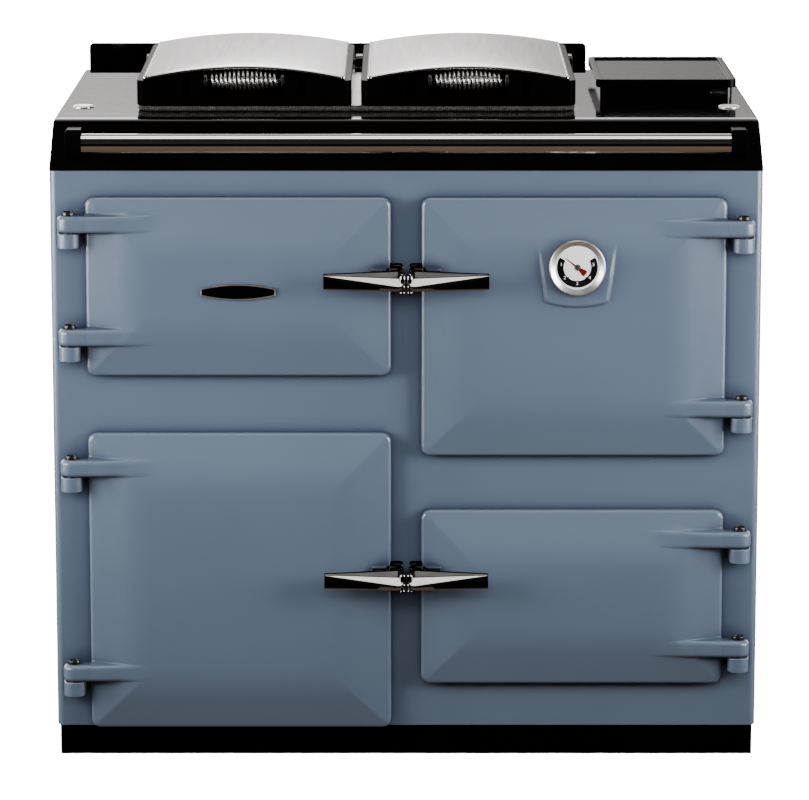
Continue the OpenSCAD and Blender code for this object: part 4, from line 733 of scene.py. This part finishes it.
# --- Handles ---
BRACKET_FOOT = 22.0  # beyond this from the middle of the cooker a bracket is its foot on the door
BRACKET_SLIM = 0.5


def handle_bracket(door):
    """A handle's bracket, with its foot on the door half as high as the CAD's."""
    bracket = softened(door.name + "_handle_bracket", 1.6, BLACK, "door_" + door.name, angle=35.0)
    axis_z = (door.z0 + door.handle) * MM
    for v in bracket.data.vertices:
        if abs(v.co.x) > BRACKET_FOOT * MM:
            v.co.z = axis_z + (v.co.z - axis_z) * BRACKET_SLIM


# Grips, in millimetres from the middle of the cooker (x) and from the front casting's face (y)
GRIP_IN = 5.0
GRIP_OUT = 114.0
GRIP_BACK = -54.0
GRIP_FRONT = -68.0
GRIP_END = [(0.0, 0.55), (0.8, 0.72), (2.6, 0.88), (6.0, 0.98), (9.0, 1.0)]  # distance, size
HANDLE_DROP = 5.0  # from the spindle's axis down to the grip's middle
BAND_TOP = 3  # place in grip_section of the upper band's top edge
KNUCKLE_X = 4.9
KNUCKLE_Y = -60.0
KNUCKLE = [(0, -18.8), (2.4, -18.2), (3.8, -16.6), (3.8, -14.8), (2.4, -12.8), (2.2, -12.2), (3.8, -11.0),
           (4.6, -9.0), (4.2, -6.0), (2.8, -4.6), (2.8, -3.8), (4.2, -2.6), (4.6, -0.4), (4.6, 5.0),
           (3.6, 7.6), (0, 8.6)]
PIVOT_X = 13.0
SPINDLE_BACK = -18.0
SPINDLE = [(0, 0), (5.0, 0), (5.0, 8.5), (8.0, 8.7), (8.0, 11.6), (7.4, 12.2), (5.0, 12.4), (5.0, 36.4),
           (0, 36.4)]
HOOK_FRONT = -26.0  # the CAD's handle is kept behind this


def grip_section(u):
    """Section of the grip as (y, z) about its middle, from its inner end (0) to its tip (1)."""
    top = lerp(14.0, 11.5, u)
    band = top - 1.5
    lip = top - lerp(10.6, 2.2, u)
    lip_y = lerp(-55.0, -67.2, u)
    foot_y = lip_y - (band - lip) * 0.33
    crease = lerp(-7.6, 8.3, u)
    back_top = top - lerp(0.8, 3.2, u)
    return [(GRIP_BACK, back_top - 1.0), (GRIP_BACK - 0.8, back_top), (lip_y, top), (lip_y, band),
            (foot_y, lip), (foot_y, lip - 0.8), (GRIP_FRONT + 0.2, crease + 0.2), (GRIP_FRONT, crease - 0.1),
            (GRIP_FRONT, crease - 2.4), (GRIP_FRONT + 0.7, crease - 2.9), (GRIP_FRONT + 0.8, -top + 2.2),
            (GRIP_FRONT + 1.8, -top + 0.4), (GRIP_FRONT + 3.0, -top), (GRIP_BACK - 1, -top),
            (GRIP_BACK, -top + 1.0)]


def grip_place(door):
    """Maps a grip's x, y and z to the frame."""
    middle = door.z0 + door.handle - HANDLE_DROP
    return lambda x, y, z: (door.side * x * MM, FRONT + y * MM, (middle + z) * MM)


def lever(door):
    """A turning handle: faceted grip, spindle with its collar, and the hook behind."""
    bm = bmesh.new()
    place = grip_place(door)
    middle_y = mid(GRIP_BACK, GRIP_FRONT)
    stations = [(GRIP_IN + x, size) for x, size in GRIP_END]
    stations += [(x, 1.0) for x in spread(22, GRIP_OUT - 1.6, 14)]
    stations.append((GRIP_OUT, 1.0))
    rings = []
    for x, size in stations:
        u = clamp((x - GRIP_IN) / (GRIP_OUT - GRIP_IN), 0, 1)
        rings.append([place(x, middle_y + (y - middle_y) * size, z * size) for y, z in grip_section(u)])
    sweep(bm, rings)
    pivot_z = door.z0 + door.handle
    lathe(bm, SPINDLE, lambda u, v, h: (door.side * (PIVOT_X + u) * MM, FRONT + (SPINDLE_BACK - h) * MM,
                                        (pivot_z + v) * MM), 32)
    hook(bm, door)
    piece(door.name + "_lever", bm, DARK_CHROME, "handle_" + door.name,
          (door.name + "_handle",), sharp=28.0)


def hook(bm, door):
    """The hook on the spindle's inner end, taken from the CAD's mesh behind the bracket."""
    part = bmesh.new()
    part.from_mesh(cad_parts[door.name + "_handle"].data)
    bmesh.ops.bisect_plane(part, geom=part.verts[:] + part.edges[:] + part.faces[:], dist=1e-6,
                           plane_co=(0, FRONT + HOOK_FRONT * MM, 0), plane_no=(0, -1, 0), clear_outer=True)
    made = {v: bm.verts.new(v.co) for v in part.verts}
    for face in part.faces:
        bm.faces.new([made[v] for v in face.verts])
    part.free()


def grip_band(door):
    """A satin strip on the grip's upper band, a hair proud of it."""
    place = grip_place(door)
    bm = bmesh.new()
    strips = []
    for x in spread(GRIP_IN + 7, GRIP_OUT - 1, 12):
        section = grip_section((x - GRIP_IN) / (GRIP_OUT - GRIP_IN))
        (ty, tz), (fy, fz) = section[BAND_TOP:BAND_TOP + 2]
        strips.append([place(x, y, z) for y, z in ((ty - 0.12, tz - 0.3), (fy - 0.12, fz + 0.3),
                                                   (fy + 0.5, fz + 0.5), (ty + 0.5, tz - 0.1))])
    sweep(bm, strips)
    piece(door.name + "_grip_flat", bm, GRIP_FLAT, "handle_" + door.name)


def knuckle(door):
    """The turned knuckle at the grip's inner end."""
    place = grip_place(door)
    bm = bmesh.new()
    lathe(bm, KNUCKLE, lambda u, v, h: place(KNUCKLE_X + u, KNUCKLE_Y + v, h), 28)
    piece(door.name + "_knuckle", bm, BLACK_CHROME, "handle_" + door.name)


for door in DOORS:
    handle_bracket(door)
for door in DOORS:
    grip_band(door)
    knuckle(door)
    lever(door)


# --- Badge ---
BADGE_END = 5.0  # half the height of the plate's ends
BADGE_RIM = 1.9


def badge():
    """A plain plate with a bright rim round a black field."""
    (cx, _, cz), (width, thick, tall) = box_of("badge_plate")
    place = along_y(cx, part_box("badge_plate")[1].y, cz)
    drop = tall / 2 - BADGE_END
    curve = [(width / 2 * u, tall / 2 - drop * u * u) for u in spread(-1, 1, 25)]
    outline = [(x, -y) for x, y in curve] + curve[::-1]
    rim = bmesh.new()
    rings = layers(outline, ((0, 0), (0, thick - 0.8), (0.3, thick - 0.2), (0.9, thick),
                             (1.5, thick - 0.2), (BADGE_RIM, thick - 0.9), (BADGE_RIM, 0)), place)
    sweep(rim, rings + [rings[0]], caps=False)
    piece("badge_rim", rim, BEZEL_SATIN, "door_upper_left", ("badge_plate",))
    field = bmesh.new()
    sweep(field, layers(inset(outline, 1.8), ((0, 0.2), (0, thick - 1.3), (0.3, thick - 1.0)), place))
    piece("badge_field", field, BLACK, "door_upper_left")


badge()


# --- Thermometer ---
# Profiles as (radius, height) in millimetres; the bezel's heights are over the door's face
GAUGE_SEAT = 9.0  # from the case's front back to that face
BEZEL = [(0, -12), (35.4, -12), (36, -11.4), (36, 0.2), (38.2, 0.2), (39, 1.0), (39, 6.6), (38.7, 8.0),
         (38.1, 8.8), (37.4, 9.0), (36.9, 8.8), (36.5, 8.5), (31.0, 5.1), (30.6, 4.6), (30.6, 0.4),
         (31.2, -0.9), (0, -0.9)]
DIAL_FACE = [(0, -1.0), (31.0, -1.0), (31.4, -0.7), (31.4, -0.1), (31.2, 0), (0, 0)]
PRINT_T = 0.12
BAND_FROM = 150  # the dial's dark band, in degrees
BAND_TO = 390
BAND_INNER_R = 19.0
BAND_OUTER_R = 28.3
NOTCH = [(17.0, 0), (19.2, -1.3), (19.2, 1.3)]
FIGURES = 5
FIGURE_R = 22.6
FIGURE_SIZE = 6.6
LENS_R = 30.6
LENS_RIM = 4.2
LENS_T = 1.0


def flat_shape(bm, outline, y, thick):
    """A thin print or plate on the dial, from an outline in millimetres about the dial's middle."""
    place = along_y(GAUGE_X, y, GAUGE_Z)
    sweep(bm, [[place(x, z, h) for x, z in outline] for h in (0, thick)])


def gauge_lathe(bm, profile, y, steps=96):
    lathe(bm, profile, along_y(GAUGE_X, y, GAUGE_Z), steps)


def thermometer_case(seat_y):
    """The bezel with its case, and the probe behind it."""
    bm = bmesh.new()
    gauge_lathe(bm, BEZEL, seat_y)
    depth = -(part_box("thermometer_case")[1].y - seat_y) / MM
    gauge_lathe(bm, [(0, -11), (4, -11), (4, depth + 1.2), (3.2, depth + 0.2), (0, depth)], seat_y, 32)
    piece("thermometer_bezel", bm, BEZEL_SATIN, "door_upper_right",
          ("thermometer_case",), sharp=60.0)


def thermometer_dial():
    """The dial's plate with its dark band, notches and plain figures."""
    dial_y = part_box("thermometer_dial")[0].y
    face, band, notches, figures = [bmesh.new() for _ in range(4)]
    gauge_lathe(face, DIAL_FACE, dial_y)
    flat_shape(band, arc(0, 0, BAND_OUTER_R, BAND_FROM, BAND_TO, 73)
               + arc(0, 0, BAND_INNER_R, BAND_TO, BAND_FROM, 73), dial_y, PRINT_T)
    for angle in (230, 270, 310):
        turn = Matrix.Rotation(math.radians(angle), 2)
        flat_shape(notches, [tuple(turn @ Vector(corner)) for corner in NOTCH], dial_y, PRINT_T)
    for i in range(FIGURES):
        figure(figures, str(i + 1), math.radians(170 + 50 * i), dial_y - PRINT_T * MM)
    piece("thermometer_face", face, DIAL, "door_upper_right", ("thermometer_dial",))
    for name, bm, material in (("band", band, INK), ("notches", notches, INK), ("numbers", figures, DIAL)):
        piece("thermometer_" + name, bm, material, "door_upper_right")


def thermometer_lens(seat_y):
    """The glass, a little domed."""
    low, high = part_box("thermometer_glass")
    crown = (high.y - low.y) / MM + (seat_y - high.y) / MM
    outer = [(r, LENS_RIM + (crown - LENS_RIM) * (1 - (r / 31.0) ** 2)) for r in spread(0, LENS_R, 14)]
    bm = bmesh.new()
    gauge_lathe(bm, [(r, h - LENS_T) for r, h in outer] + outer[::-1], seat_y)
    piece("thermometer_lens", bm, GLASS, "door_upper_right", ("thermometer_glass",))


def figure(bm, text, angle, y):
    """A plain figure on the dial's band, upright, from the default font's outline."""
    curve = bpy.data.curves.new("figure", "FONT")
    curve.body = text
    curve.size = FIGURE_SIZE
    curve.align_x = "CENTER"
    curve.align_y = "CENTER"
    holder = bpy.data.objects.new("figure", curve)
    mesh = holder.to_mesh()
    cx = FIGURE_R * math.cos(angle)
    cz = FIGURE_R * math.sin(angle)
    made = [bm.verts.new((GAUGE_X + (cx + v.co.x) * MM, y - 0.02 * MM, GAUGE_Z + (cz + v.co.y) * MM))
            for v in mesh.vertices]
    for polygon in mesh.polygons:
        bm.faces.new([made[i] for i in polygon.vertices])
    holder.to_mesh_clear()
    bpy.data.objects.remove(holder)
    bpy.data.curves.remove(curve)


NEEDLE = [(-4.6, -12.0), (-4.0, -14.6), (4.0, -14.6), (4.6, -12.0), (1.5, 0), (0.5, 21.4), (0, 22),
          (-0.5, 21.4), (-1.5, 0)]
NEEDLE_LIFT = 1.2  # from the pointer's back to the needle's
NEEDLE_REST = math.radians(51.5)
HUB = [(0, 0), (4.4, 0), (4.8, 0.3), (4.8, 1.4), (4.0, 2.2), (2.4, 2.5), (0, 2.55)]


def pointer():
    """A red needle with a triangular tail and a satin hub, at its resting angle."""
    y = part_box("thermometer_pointer")[1].y
    c = math.cos(NEEDLE_REST)
    s = math.sin(NEEDLE_REST)
    needle = bmesh.new()
    flat_shape(needle, [(x * c - z * s, x * s + z * c) for x, z in NEEDLE], y - NEEDLE_LIFT * MM, 0.8)
    piece("pointer_needle", needle, PAINT_RED, "pointer", ("thermometer_pointer",))
    hub = bmesh.new()
    gauge_lathe(hub, HUB, y, 40)
    piece("pointer_hub", hub, BEZEL_SATIN, "pointer")


gauge_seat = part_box("thermometer_case")[0].y + GAUGE_SEAT * MM
thermometer_case(gauge_seat)
thermometer_dial()
thermometer_lens(gauge_seat)
pointer()


# --- Towel rail ---
def towel_rail():
    (_, y, z), (length, _, tall) = box_of("towel_rail")
    r = tall / 2
    profile = [(0, 0), (r - 0.5, 0), (r, 0.5)] + [(r, d) for d in spread(8, length - 8, 9)]
    profile += [(r, length - 0.5), (r - 0.5, length), (0, length)]
    bm = bmesh.new()
    lathe(bm, profile, along_x(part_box("towel_rail")[0].x, y, z), 72)
    rail = piece("rail_tube", bm, RAIL, "root", ("towel_rail",))
    rail.visible_glossy = False


towel_rail()
softened("rail_brackets", 2.0, LID, "root", angle=35.0)


# --- Castings ---
EASE = 11.0  # width of the hob's easing at its front edge
EASE_DROP = 1.1
EASE_DEPTH = 4.5  # what lies deeper below the hob's surface stays
UPSTAND_END = -0.40  # the upstand's left end lies beyond this
UPSTAND_SHORT = 9.0
UPSTAND_FOOT = 40.0  # its top, higher than this over the hob, leans down to the back
UPSTAND_LEAN = 0.13


def hob():
    """The hob casting, its top easing down a little towards its front edge."""
    bm = cad_copy("top_plate")
    edge = min(v.co.y for v in bm.verts if v.co.z > HOB - 0.2 * MM)
    for back in (2.5, 5.0, 8.0, EASE):
        bmesh.ops.bisect_plane(bm, geom=bm.verts[:] + bm.edges[:] + bm.faces[:], dist=1e-7,
                               plane_co=(0, edge + back * MM, 0), plane_no=(0, 1, 0))
    for v in bm.verts:
        if v.co.z > HOB - EASE_DEPTH * MM and v.co.y < edge + EASE * MM:
            part = clamp((v.co.y - edge) / (EASE * MM), 0, 1)
            v.co.z -= EASE_DROP * MM * (1 - part) ** 2
    piece("hob", bm, BLACK, "root", ("top_plate",))


def rear_upstand():
    """The upstand, its left end a little shorter than the CAD's and its top leaning down to the back."""
    upstand = softened("rear_upstand", 1.4, BLACK, "root")
    upstand.visible_glossy = False
    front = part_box("rear_upstand")[0].y
    for v in upstand.data.vertices:
        if v.co.x < UPSTAND_END:
            v.co.x += UPSTAND_SHORT * MM
        if v.co.z > HOB + UPSTAND_FOOT * MM:
            v.co.z -= (v.co.y - front) * UPSTAND_LEAN


softened("front_plate", 1.6, BLUE, "root").visible_glossy = False
hob()
rear_upstand()
softened("flue_cover", 1.4, COVER, "root")
for side in ("left", "right"):
    softened(f"{side}_lid_casting", 1.4, LID, "lid_" + side)


# --- Lids ---
# Domes, in millimetres
DOME_T = 2.0
DOME_SIDE_H = 4.0  # height of the straight side
DOME_DIP = 4.2  # how much lower the vault runs out at its front
ROLL = 2.3  # radius of the rolled edge
ROLL_PROUD = 0.3  # how far it stands over the vault
BALL_R = 3.8
BALL_IN = 3.4
# Coil handles, in millimetres
FERRULE = 5.0
FERRULE_R = 9.0
WIRE = 3.2
WIRE_TAIL = 1.5  # straight run at each end, in wire widths
COIL_END_R = 9.0
COIL_MID_R = 14.0
COIL_TURNS = 15


def dome(side):
    """A polished vault with a rolled edge and a small ball at each front corner."""
    low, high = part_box(f"{side}_lid_dome")
    (cx, _, _), (width, length, _) = box_of(f"{side}_lid_dome")
    half = width / 2
    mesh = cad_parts[f"{side}_lid_dome"].data
    foot_front = min(v.co.z for v in mesh.vertices if v.co.y < low.y + 2 * MM)
    foot_back = min(v.co.z for v in mesh.vertices if v.co.y > high.y - 2 * MM)
    slope = (foot_back - foot_front) / (high.y - low.y)
    top = (high.z - foot_front) / MM - ROLL_PROUD

    def crown(u, v):
        rise = top - DOME_SIDE_H - slope * v - lerp(DOME_DIP, 0.0, (v / length) ** 0.6)
        return DOME_SIDE_H + rise * (1 - u * u)

    def at(u, v, h):
        """u across from -1 to 1, v back from the front in millimetres, h up from the foot."""
        return (cx + half * u * MM, low.y + v * MM, foot_front + slope * v * MM + h * MM)

    bm = bmesh.new()
    steps = spread(-1, 1, 49)
    k = (half - DOME_T) / half
    rings = []
    for v in [0.8, 6.0, 16.0] + spread(40.0, length - 8.0, 9) + [length - 0.8]:
        outer = [(-1.0, 0.0), (-1.0, DOME_SIDE_H * 0.5)] + [(u, crown(u, v)) for u in steps]
        outer += [(1.0, DOME_SIDE_H * 0.5), (1.0, 0.0)]
        inner = [(k, 0.0), (k, DOME_SIDE_H - DOME_T)] + [(u * k, crown(u, v) - DOME_T) for u in steps[::-1]]
        inner += [(-k, DOME_SIDE_H - DOME_T), (-k, 0.0)]
        rings.append([at(u, v, h) for u, h in outer + inner])
    sweep(bm, rings)
    edge = 1 - ROLL / half
    for v in (ROLL, length - ROLL):
        tube(bm, [at(u * edge, v, crown(u, v) - ROLL + ROLL_PROUD) for u in steps], ROLL * MM)
    for u in (-1, 1):
        tube(bm, [at(u * edge, v, DOME_SIDE_H - 0.9) for v in spread(ROLL, length - ROLL, 9)], ROLL * MM)
        ball(bm, at(u * (1 - BALL_IN / half), BALL_IN, DOME_SIDE_H - 1.2), BALL_R * MM)
    piece(f"{side}_dome", bm, STEEL, "lid_" + side, (f"{side}_lid_dome",))


def ball(bm, centre, radius):
    """A small ball, turned like the other round pieces."""
    profile = [(radius * math.sin(a), -radius * math.cos(a)) for a in spread(0, math.pi, 8)]
    lathe(bm, profile, lambda u, v, h: (centre[0] + u, centre[1] + v, centre[2] + h), 16)


def barrel(part):
    """How far the coil's wire lies from its axis, at a part of its length."""
    return COIL_END_R - WIRE / 2 + (COIL_MID_R - COIL_END_R) * math.sin(math.pi * part)


def coil(side):
    """The sprung handle: one wire wound in a barrel shape between two ferrules."""
    node = f"{side}_lid_coil_handle"
    (cx, y, z), (length, _, _) = box_of(node)
    length -= 2 * FERRULE
    wound = length - 2 * WIRE * WIRE_TAIL
    turn = (wound / 2 + WIRE * 0.6) * MM
    path = [(cx - length / 2 * MM, y + barrel(0) * MM, z), (cx - turn, y + barrel(0) * MM, z)]
    count = COIL_TURNS * 24
    for i in range(count + 1):
        part = i / count
        a = 2 * math.pi * COIL_TURNS * part
        path.append((cx + (part - 0.5) * wound * MM, y + barrel(part) * math.cos(a) * MM,
                     z + barrel(part) * math.sin(a) * MM))
    path += [(cx + turn, y + barrel(1) * MM, z), (cx + length / 2 * MM, y + barrel(1) * MM, z)]
    bm = bmesh.new()
    tube(bm, path, WIRE / 2 * MM)
    piece(f"{side}_coil", bm, COIL, "lid_" + side, (node,))
    ends = bmesh.new()
    profile = [(0, 0), (FERRULE_R - 0.8, 0), (FERRULE_R, 0.8), (FERRULE_R, FERRULE - 0.8),
               (FERRULE_R - 0.8, FERRULE), (0, FERRULE)]
    for start in (-length / 2 - FERRULE, length / 2):
        lathe(ends, profile, lambda u, v, h: (cx + (start + h) * MM, y + u * MM, z + v * MM), 40)
    piece(f"{side}_coil_ferrules", ends, OXIDE, "lid_" + side)


for side in ("left", "right"):
    dome(side)
    coil(side)


# --- Rope seals ---
BRAID_DEPTH = 0.34
ROPE_SIDES = 14
HOTPLATE_ROPE_W = 11.0
BRIDGE_HALF_W = 12.4
BRIDGE_RIBS = 60
BRIDGE_GROOVE = 0.35
DOOR_ROPE_W = 9.0
HOTPLATE_PITCH = 3.08
DOOR_PITCH = 4.4


def braid(distance, angle, pitch):
    """Radius of a braided rope along its length and round it, as a part of its greatest."""
    phase = 2 * math.pi * distance / pitch
    both = math.cos(phase + angle) + math.cos(phase - angle)
    return 1 - BRAID_DEPTH * (0.5 - 0.25 * both)


def walk(outline, step):
    """Points along a closed outline, about a step apart."""
    points = []
    for start, end in zip(outline, outline[1:] + outline[:1]):
        a = Vector(start)
        b = Vector(end)
        pieces = max(1, round((b - a).length / step))
        points += [tuple(a.lerp(b, k / pieces)) for k in range(pieces)]
    return points


def rope_loop(bm, outline, centre, half, pitch, place, step):
    """A closed braided rope along an outline in millimetres; half is its half width and half height."""
    points = walk(outline, step)
    angles = [2 * math.pi * k / ROPE_SIDES for k in range(ROPE_SIDES)]
    rings = []
    travelled = 0.0
    for i, p in enumerate(points):
        a = Vector(points[i - 1])
        forward = (Vector(points[(i + 1) % len(points)]) - a).normalized()
        travelled += (Vector(p) - a).length
        ring = []
        for angle in angles:
            r = braid(travelled, angle, pitch)
            off = half[0] * r * math.cos(angle)
            up = half[1] * r * math.sin(angle)
            ring.append(place(p[0] - forward.y * off, p[1] + forward.x * off, centre + up))
        rings.append(ring)
    sweep(bm, rings, closed_path=True)


def in_metres(x, y, z):
    return (x * MM, y * MM, z * MM)


def hotplate_rope():
    """The rope round the hotplate and the ribbed strip between its halves."""
    low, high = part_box("hotplate_rope_seal")
    half_w = HOTPLATE_ROPE_W / 2
    height = (high.z - low.z) / MM
    y0 = low.y / MM + half_w
    y1 = high.y / MM - half_w
    rope = bmesh.new()
    outline = round_rect(low.x / MM + half_w, y0, high.x / MM - half_w, y1, 18)
    rope_loop(rope, outline, low.z / MM + height / 2, (half_w, height / 2), HOTPLATE_PITCH, in_metres, 0.75)
    piece("hotplate_rope", rope, ROPE, "root", ("hotplate_rope_seal",))
    cx = (low.x + high.x) / 2 / MM
    bar_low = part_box("hotplate")[1].z / MM + 0.1
    bar_height = low.z / MM + height - bar_low
    rings = []
    for k in range(BRIDGE_RIBS * 4 + 1):
        y = lerp(y0 + half_w + 0.5, y1 - half_w - 0.5, k / (BRIDGE_RIBS * 4))
        crest = bar_low + bar_height - (BRIDGE_GROOVE if k % 4 == 0 else 0.0)
        section = [(-BRIDGE_HALF_W, bar_low), (BRIDGE_HALF_W, bar_low), (BRIDGE_HALF_W, crest - 0.5),
                   (BRIDGE_HALF_W - 0.8, crest), (0.8 - BRIDGE_HALF_W, crest), (-BRIDGE_HALF_W, crest - 0.5)]
        rings.append([in_metres(cx + x, y, z) for x, z in section])
    bridge = bmesh.new()
    sweep(bridge, rings)
    piece("hotplate_bridge_seal", bridge, PALE_ROPE, "root")


def door_rope(door):
    """The rope in the recess round a door's liner."""
    low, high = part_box(door.name + "_rope_seal")
    half_w = DOOR_ROPE_W / 2
    outline = round_rect(low.x / MM + half_w, low.z / MM + half_w, high.x / MM - half_w,
                         high.z / MM - half_w, 6)
    bm = bmesh.new()
    rope_loop(bm, outline, (low.y + high.y) / 2 / MM, (half_w, (high.y - low.y) / MM / 2), DOOR_PITCH,
              lambda x, z, y: in_metres(x, y, z), 2.0)
    piece(door.name + "_rope", bm, ROPE, "door_" + door.name, (door.name + "_rope_seal",))


hotplate_rope()
for door in DOORS:
    door_rope(door)


# --- CAD pieces that keep their shape ---
FINISHES = {
    BLACK: ["plinth", "thermostat_knob"],
    BEZEL_SATIN: ["hob_plugs"],
    BLUE: ["left_side_panel", "right_side_panel"],
    ZINC: ["base_plate", "back_panel", "control_panel", "boiler_sockets", "left_lid_liner", "right_lid_liner",
           *[door.name + "_liner" for door in DOORS]],
    IRON: ["hotplate", "flue_box", "main_oven", "lower_oven", "boiler", "door_catches"],
    RAIL: ["main_oven_shelf", "lower_oven_shelf"],
    BURNER_RED: ["burner"],
    WOOL: ["insulation"],
}
for material, names in FINISHES.items():
    for name in names:
        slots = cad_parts[name].data.materials
        slots.clear()
        slots.append(material)


# --- Floor, light and camera ---
# Studio brightness by height, where 0 is straight down, 0.5 the horizon and 1 straight up;
# STUDIO_ACROSS dims the back from left to right
WORLD_LIGHT = 2.3
SEEN_WHITE = 18.0  # strong enough to come out pure white to the camera
FLOOR_HALF = 40.0
STUDIO_FRONT = [(0.0, (0.060, 0.043, 0.032)), (0.30, (0.075, 0.053, 0.040)),
                (0.33, (0.0012, 0.0012, 0.0012)), (0.54, (0.0012, 0.0012, 0.0012)),
                (0.58, (0.012, 0.0115, 0.011)), (0.85, (0.010, 0.009, 0.008)),
                (0.88, (0.004, 0.003, 0.0025)), (0.955, (0.008, 0.007, 0.006)), (0.970, (1.2, 1.18, 1.16))]
STUDIO_BACK = [(0.0, (0.03, 0.03, 0.03)), (0.50, (0.05, 0.05, 0.05)), (0.51, (0.38, 0.37, 0.368)),
               (0.5632, (0.43, 0.418, 0.415)), (0.5655, (0.70, 0.685, 0.68)), (0.572, (0.95, 0.935, 0.93)),
               (0.582, (1.80, 1.78, 1.77)), (0.590, (2.80, 2.77, 2.75)), (0.63, (2.80, 2.77, 2.75)),
               (0.70, (1.20, 1.18, 1.17)), (0.80, (0.35, 0.335, 0.325)), (0.90, (0.20, 0.18, 0.165)),
               (0.95, (0.07, 0.055, 0.045)), (0.970, (0.09, 0.07, 0.06)), (0.980, (1.25, 1.23, 1.21)),
               (1.0, (1.35, 1.33, 1.31))]
STUDIO_ACROSS = [(0.14, (1.0, 0.985, 0.98)), (0.55, (0.86, 0.85, 0.845)), (0.72, (0.66, 0.648, 0.645)),
                 (0.90, (0.53, 0.515, 0.512))]


def white_floor():
    """A floor that only the camera sees, white as the studio's backdrop."""
    mesh = bpy.data.meshes.new("floor")
    size = FLOOR_HALF
    mesh.from_pydata([(-size, -size, 0), (size, -size, 0), (size, size, 0), (-size, size, 0)], [],
                     [(0, 1, 2, 3)])
    floor = bpy.data.objects.new("floor", mesh)
    bpy.context.scene.collection.objects.link(floor)
    material, tree, shader = nodes_of("floor_white")
    wire(tree, shader, Base_Color=(0.9, 0.9, 0.9, 1), Roughness=0.9, Emission_Color=(1, 1, 1, 1),
         Emission_Strength=SEEN_WHITE)
    mesh.materials.append(material)
    floor.visible_diffuse = False
    floor.visible_glossy = False
    floor.visible_transmission = False
    floor.visible_shadow = False


def studio_world():
    """White where the camera looks; otherwise a bright backdrop and ceiling behind a dark studio front."""
    world = bpy.data.worlds.new("studio")
    bpy.context.scene.world = world
    world.use_nodes = True
    tree = world.node_tree
    tree.nodes.clear()
    place = add(tree, "ShaderNodeTexCoord")
    split = add(tree, "ShaderNodeSeparateXYZ", Vector=place.outputs["Generated"])
    height = remap(tree, split.outputs["Z"], -1.0, 1.0)
    across = ramp(tree, remap(tree, split.outputs["X"], -0.10, 0.10), STUDIO_ACROSS)
    back = colour_mix(tree, "MULTIPLY", ramp(tree, height, STUDIO_BACK), across)
    both = colour_mix(tree, "MIX", ramp(tree, height, STUDIO_FRONT), back,
                      remap(tree, split.outputs["Y"], 0.0, 0.04))
    light = add(tree, "ShaderNodeBackground", Color=both, Strength=WORLD_LIGHT)
    seen = add(tree, "ShaderNodeBackground", Color=(1, 1, 1, 1), Strength=SEEN_WHITE)
    path = add(tree, "ShaderNodeLightPath")
    shaders_mixed(tree, path.outputs["Is Camera Ray"], light, seen, add(tree, "ShaderNodeOutputWorld"))


def softbox(name, place, target, size, watts, spread_angle, glossy=True):
    """A rectangular lamp aimed at a target; glossy False keeps it out of mirrors."""
    lamp = bpy.data.lights.new(name, "AREA")
    lamp.shape = "RECTANGLE"
    lamp.size, lamp.size_y = size
    lamp.energy = watts
    lamp.spread = math.radians(spread_angle)
    holder = bpy.data.objects.new(name, lamp)
    bpy.context.scene.collection.objects.link(holder)
    holder.location = place
    holder.rotation_euler = (Vector(target) - Vector(place)).to_track_quat("-Z", "Y").to_euler()
    holder.visible_camera = False
    holder.visible_glossy = glossy


CAMERA_LENS = 190.4
CAMERA_PLACE = (-0.0024, -6.1459, 1.6471)
CAMERA_DOWN = 10.953  # degrees that it looks down


def camera():
    """The view from the front, through a long lens."""
    view = bpy.data.cameras.new("camera")
    view.sensor_width = 36.0
    view.lens = CAMERA_LENS
    view.clip_end = 200.0
    holder = bpy.data.objects.new("camera", view)
    bpy.context.scene.collection.objects.link(holder)
    holder.location = CAMERA_PLACE
    holder.rotation_euler = (math.radians(90 - CAMERA_DOWN), 0, 0)
    bpy.context.scene.camera = holder


white_floor()
studio_world()
softbox("left_box", (-1.55, -1.05, 0.96), (-0.25, -0.28, 0.67), (0.7, 0.85), 7.0, 78)
softbox("right_box", (1.55, -1.05, 0.96), (0.25, -0.28, 0.67), (0.7, 0.85), 7.2, 78)
softbox("left_rim", (-2.4, -0.62, 0.62), (-0.45, -0.29, 0.48), (0.3, 1.0), 3.2, 60)
softbox("right_rim", (2.4, -0.62, 0.62), (0.45, -0.29, 0.48), (0.3, 1.0), 2.6, 60)
softbox("front_fill", (0.0, -2.1, 1.45), (0, -0.3, 0.66), (2.6, 0.5), 3.8, 72, glossy=False)
camera()
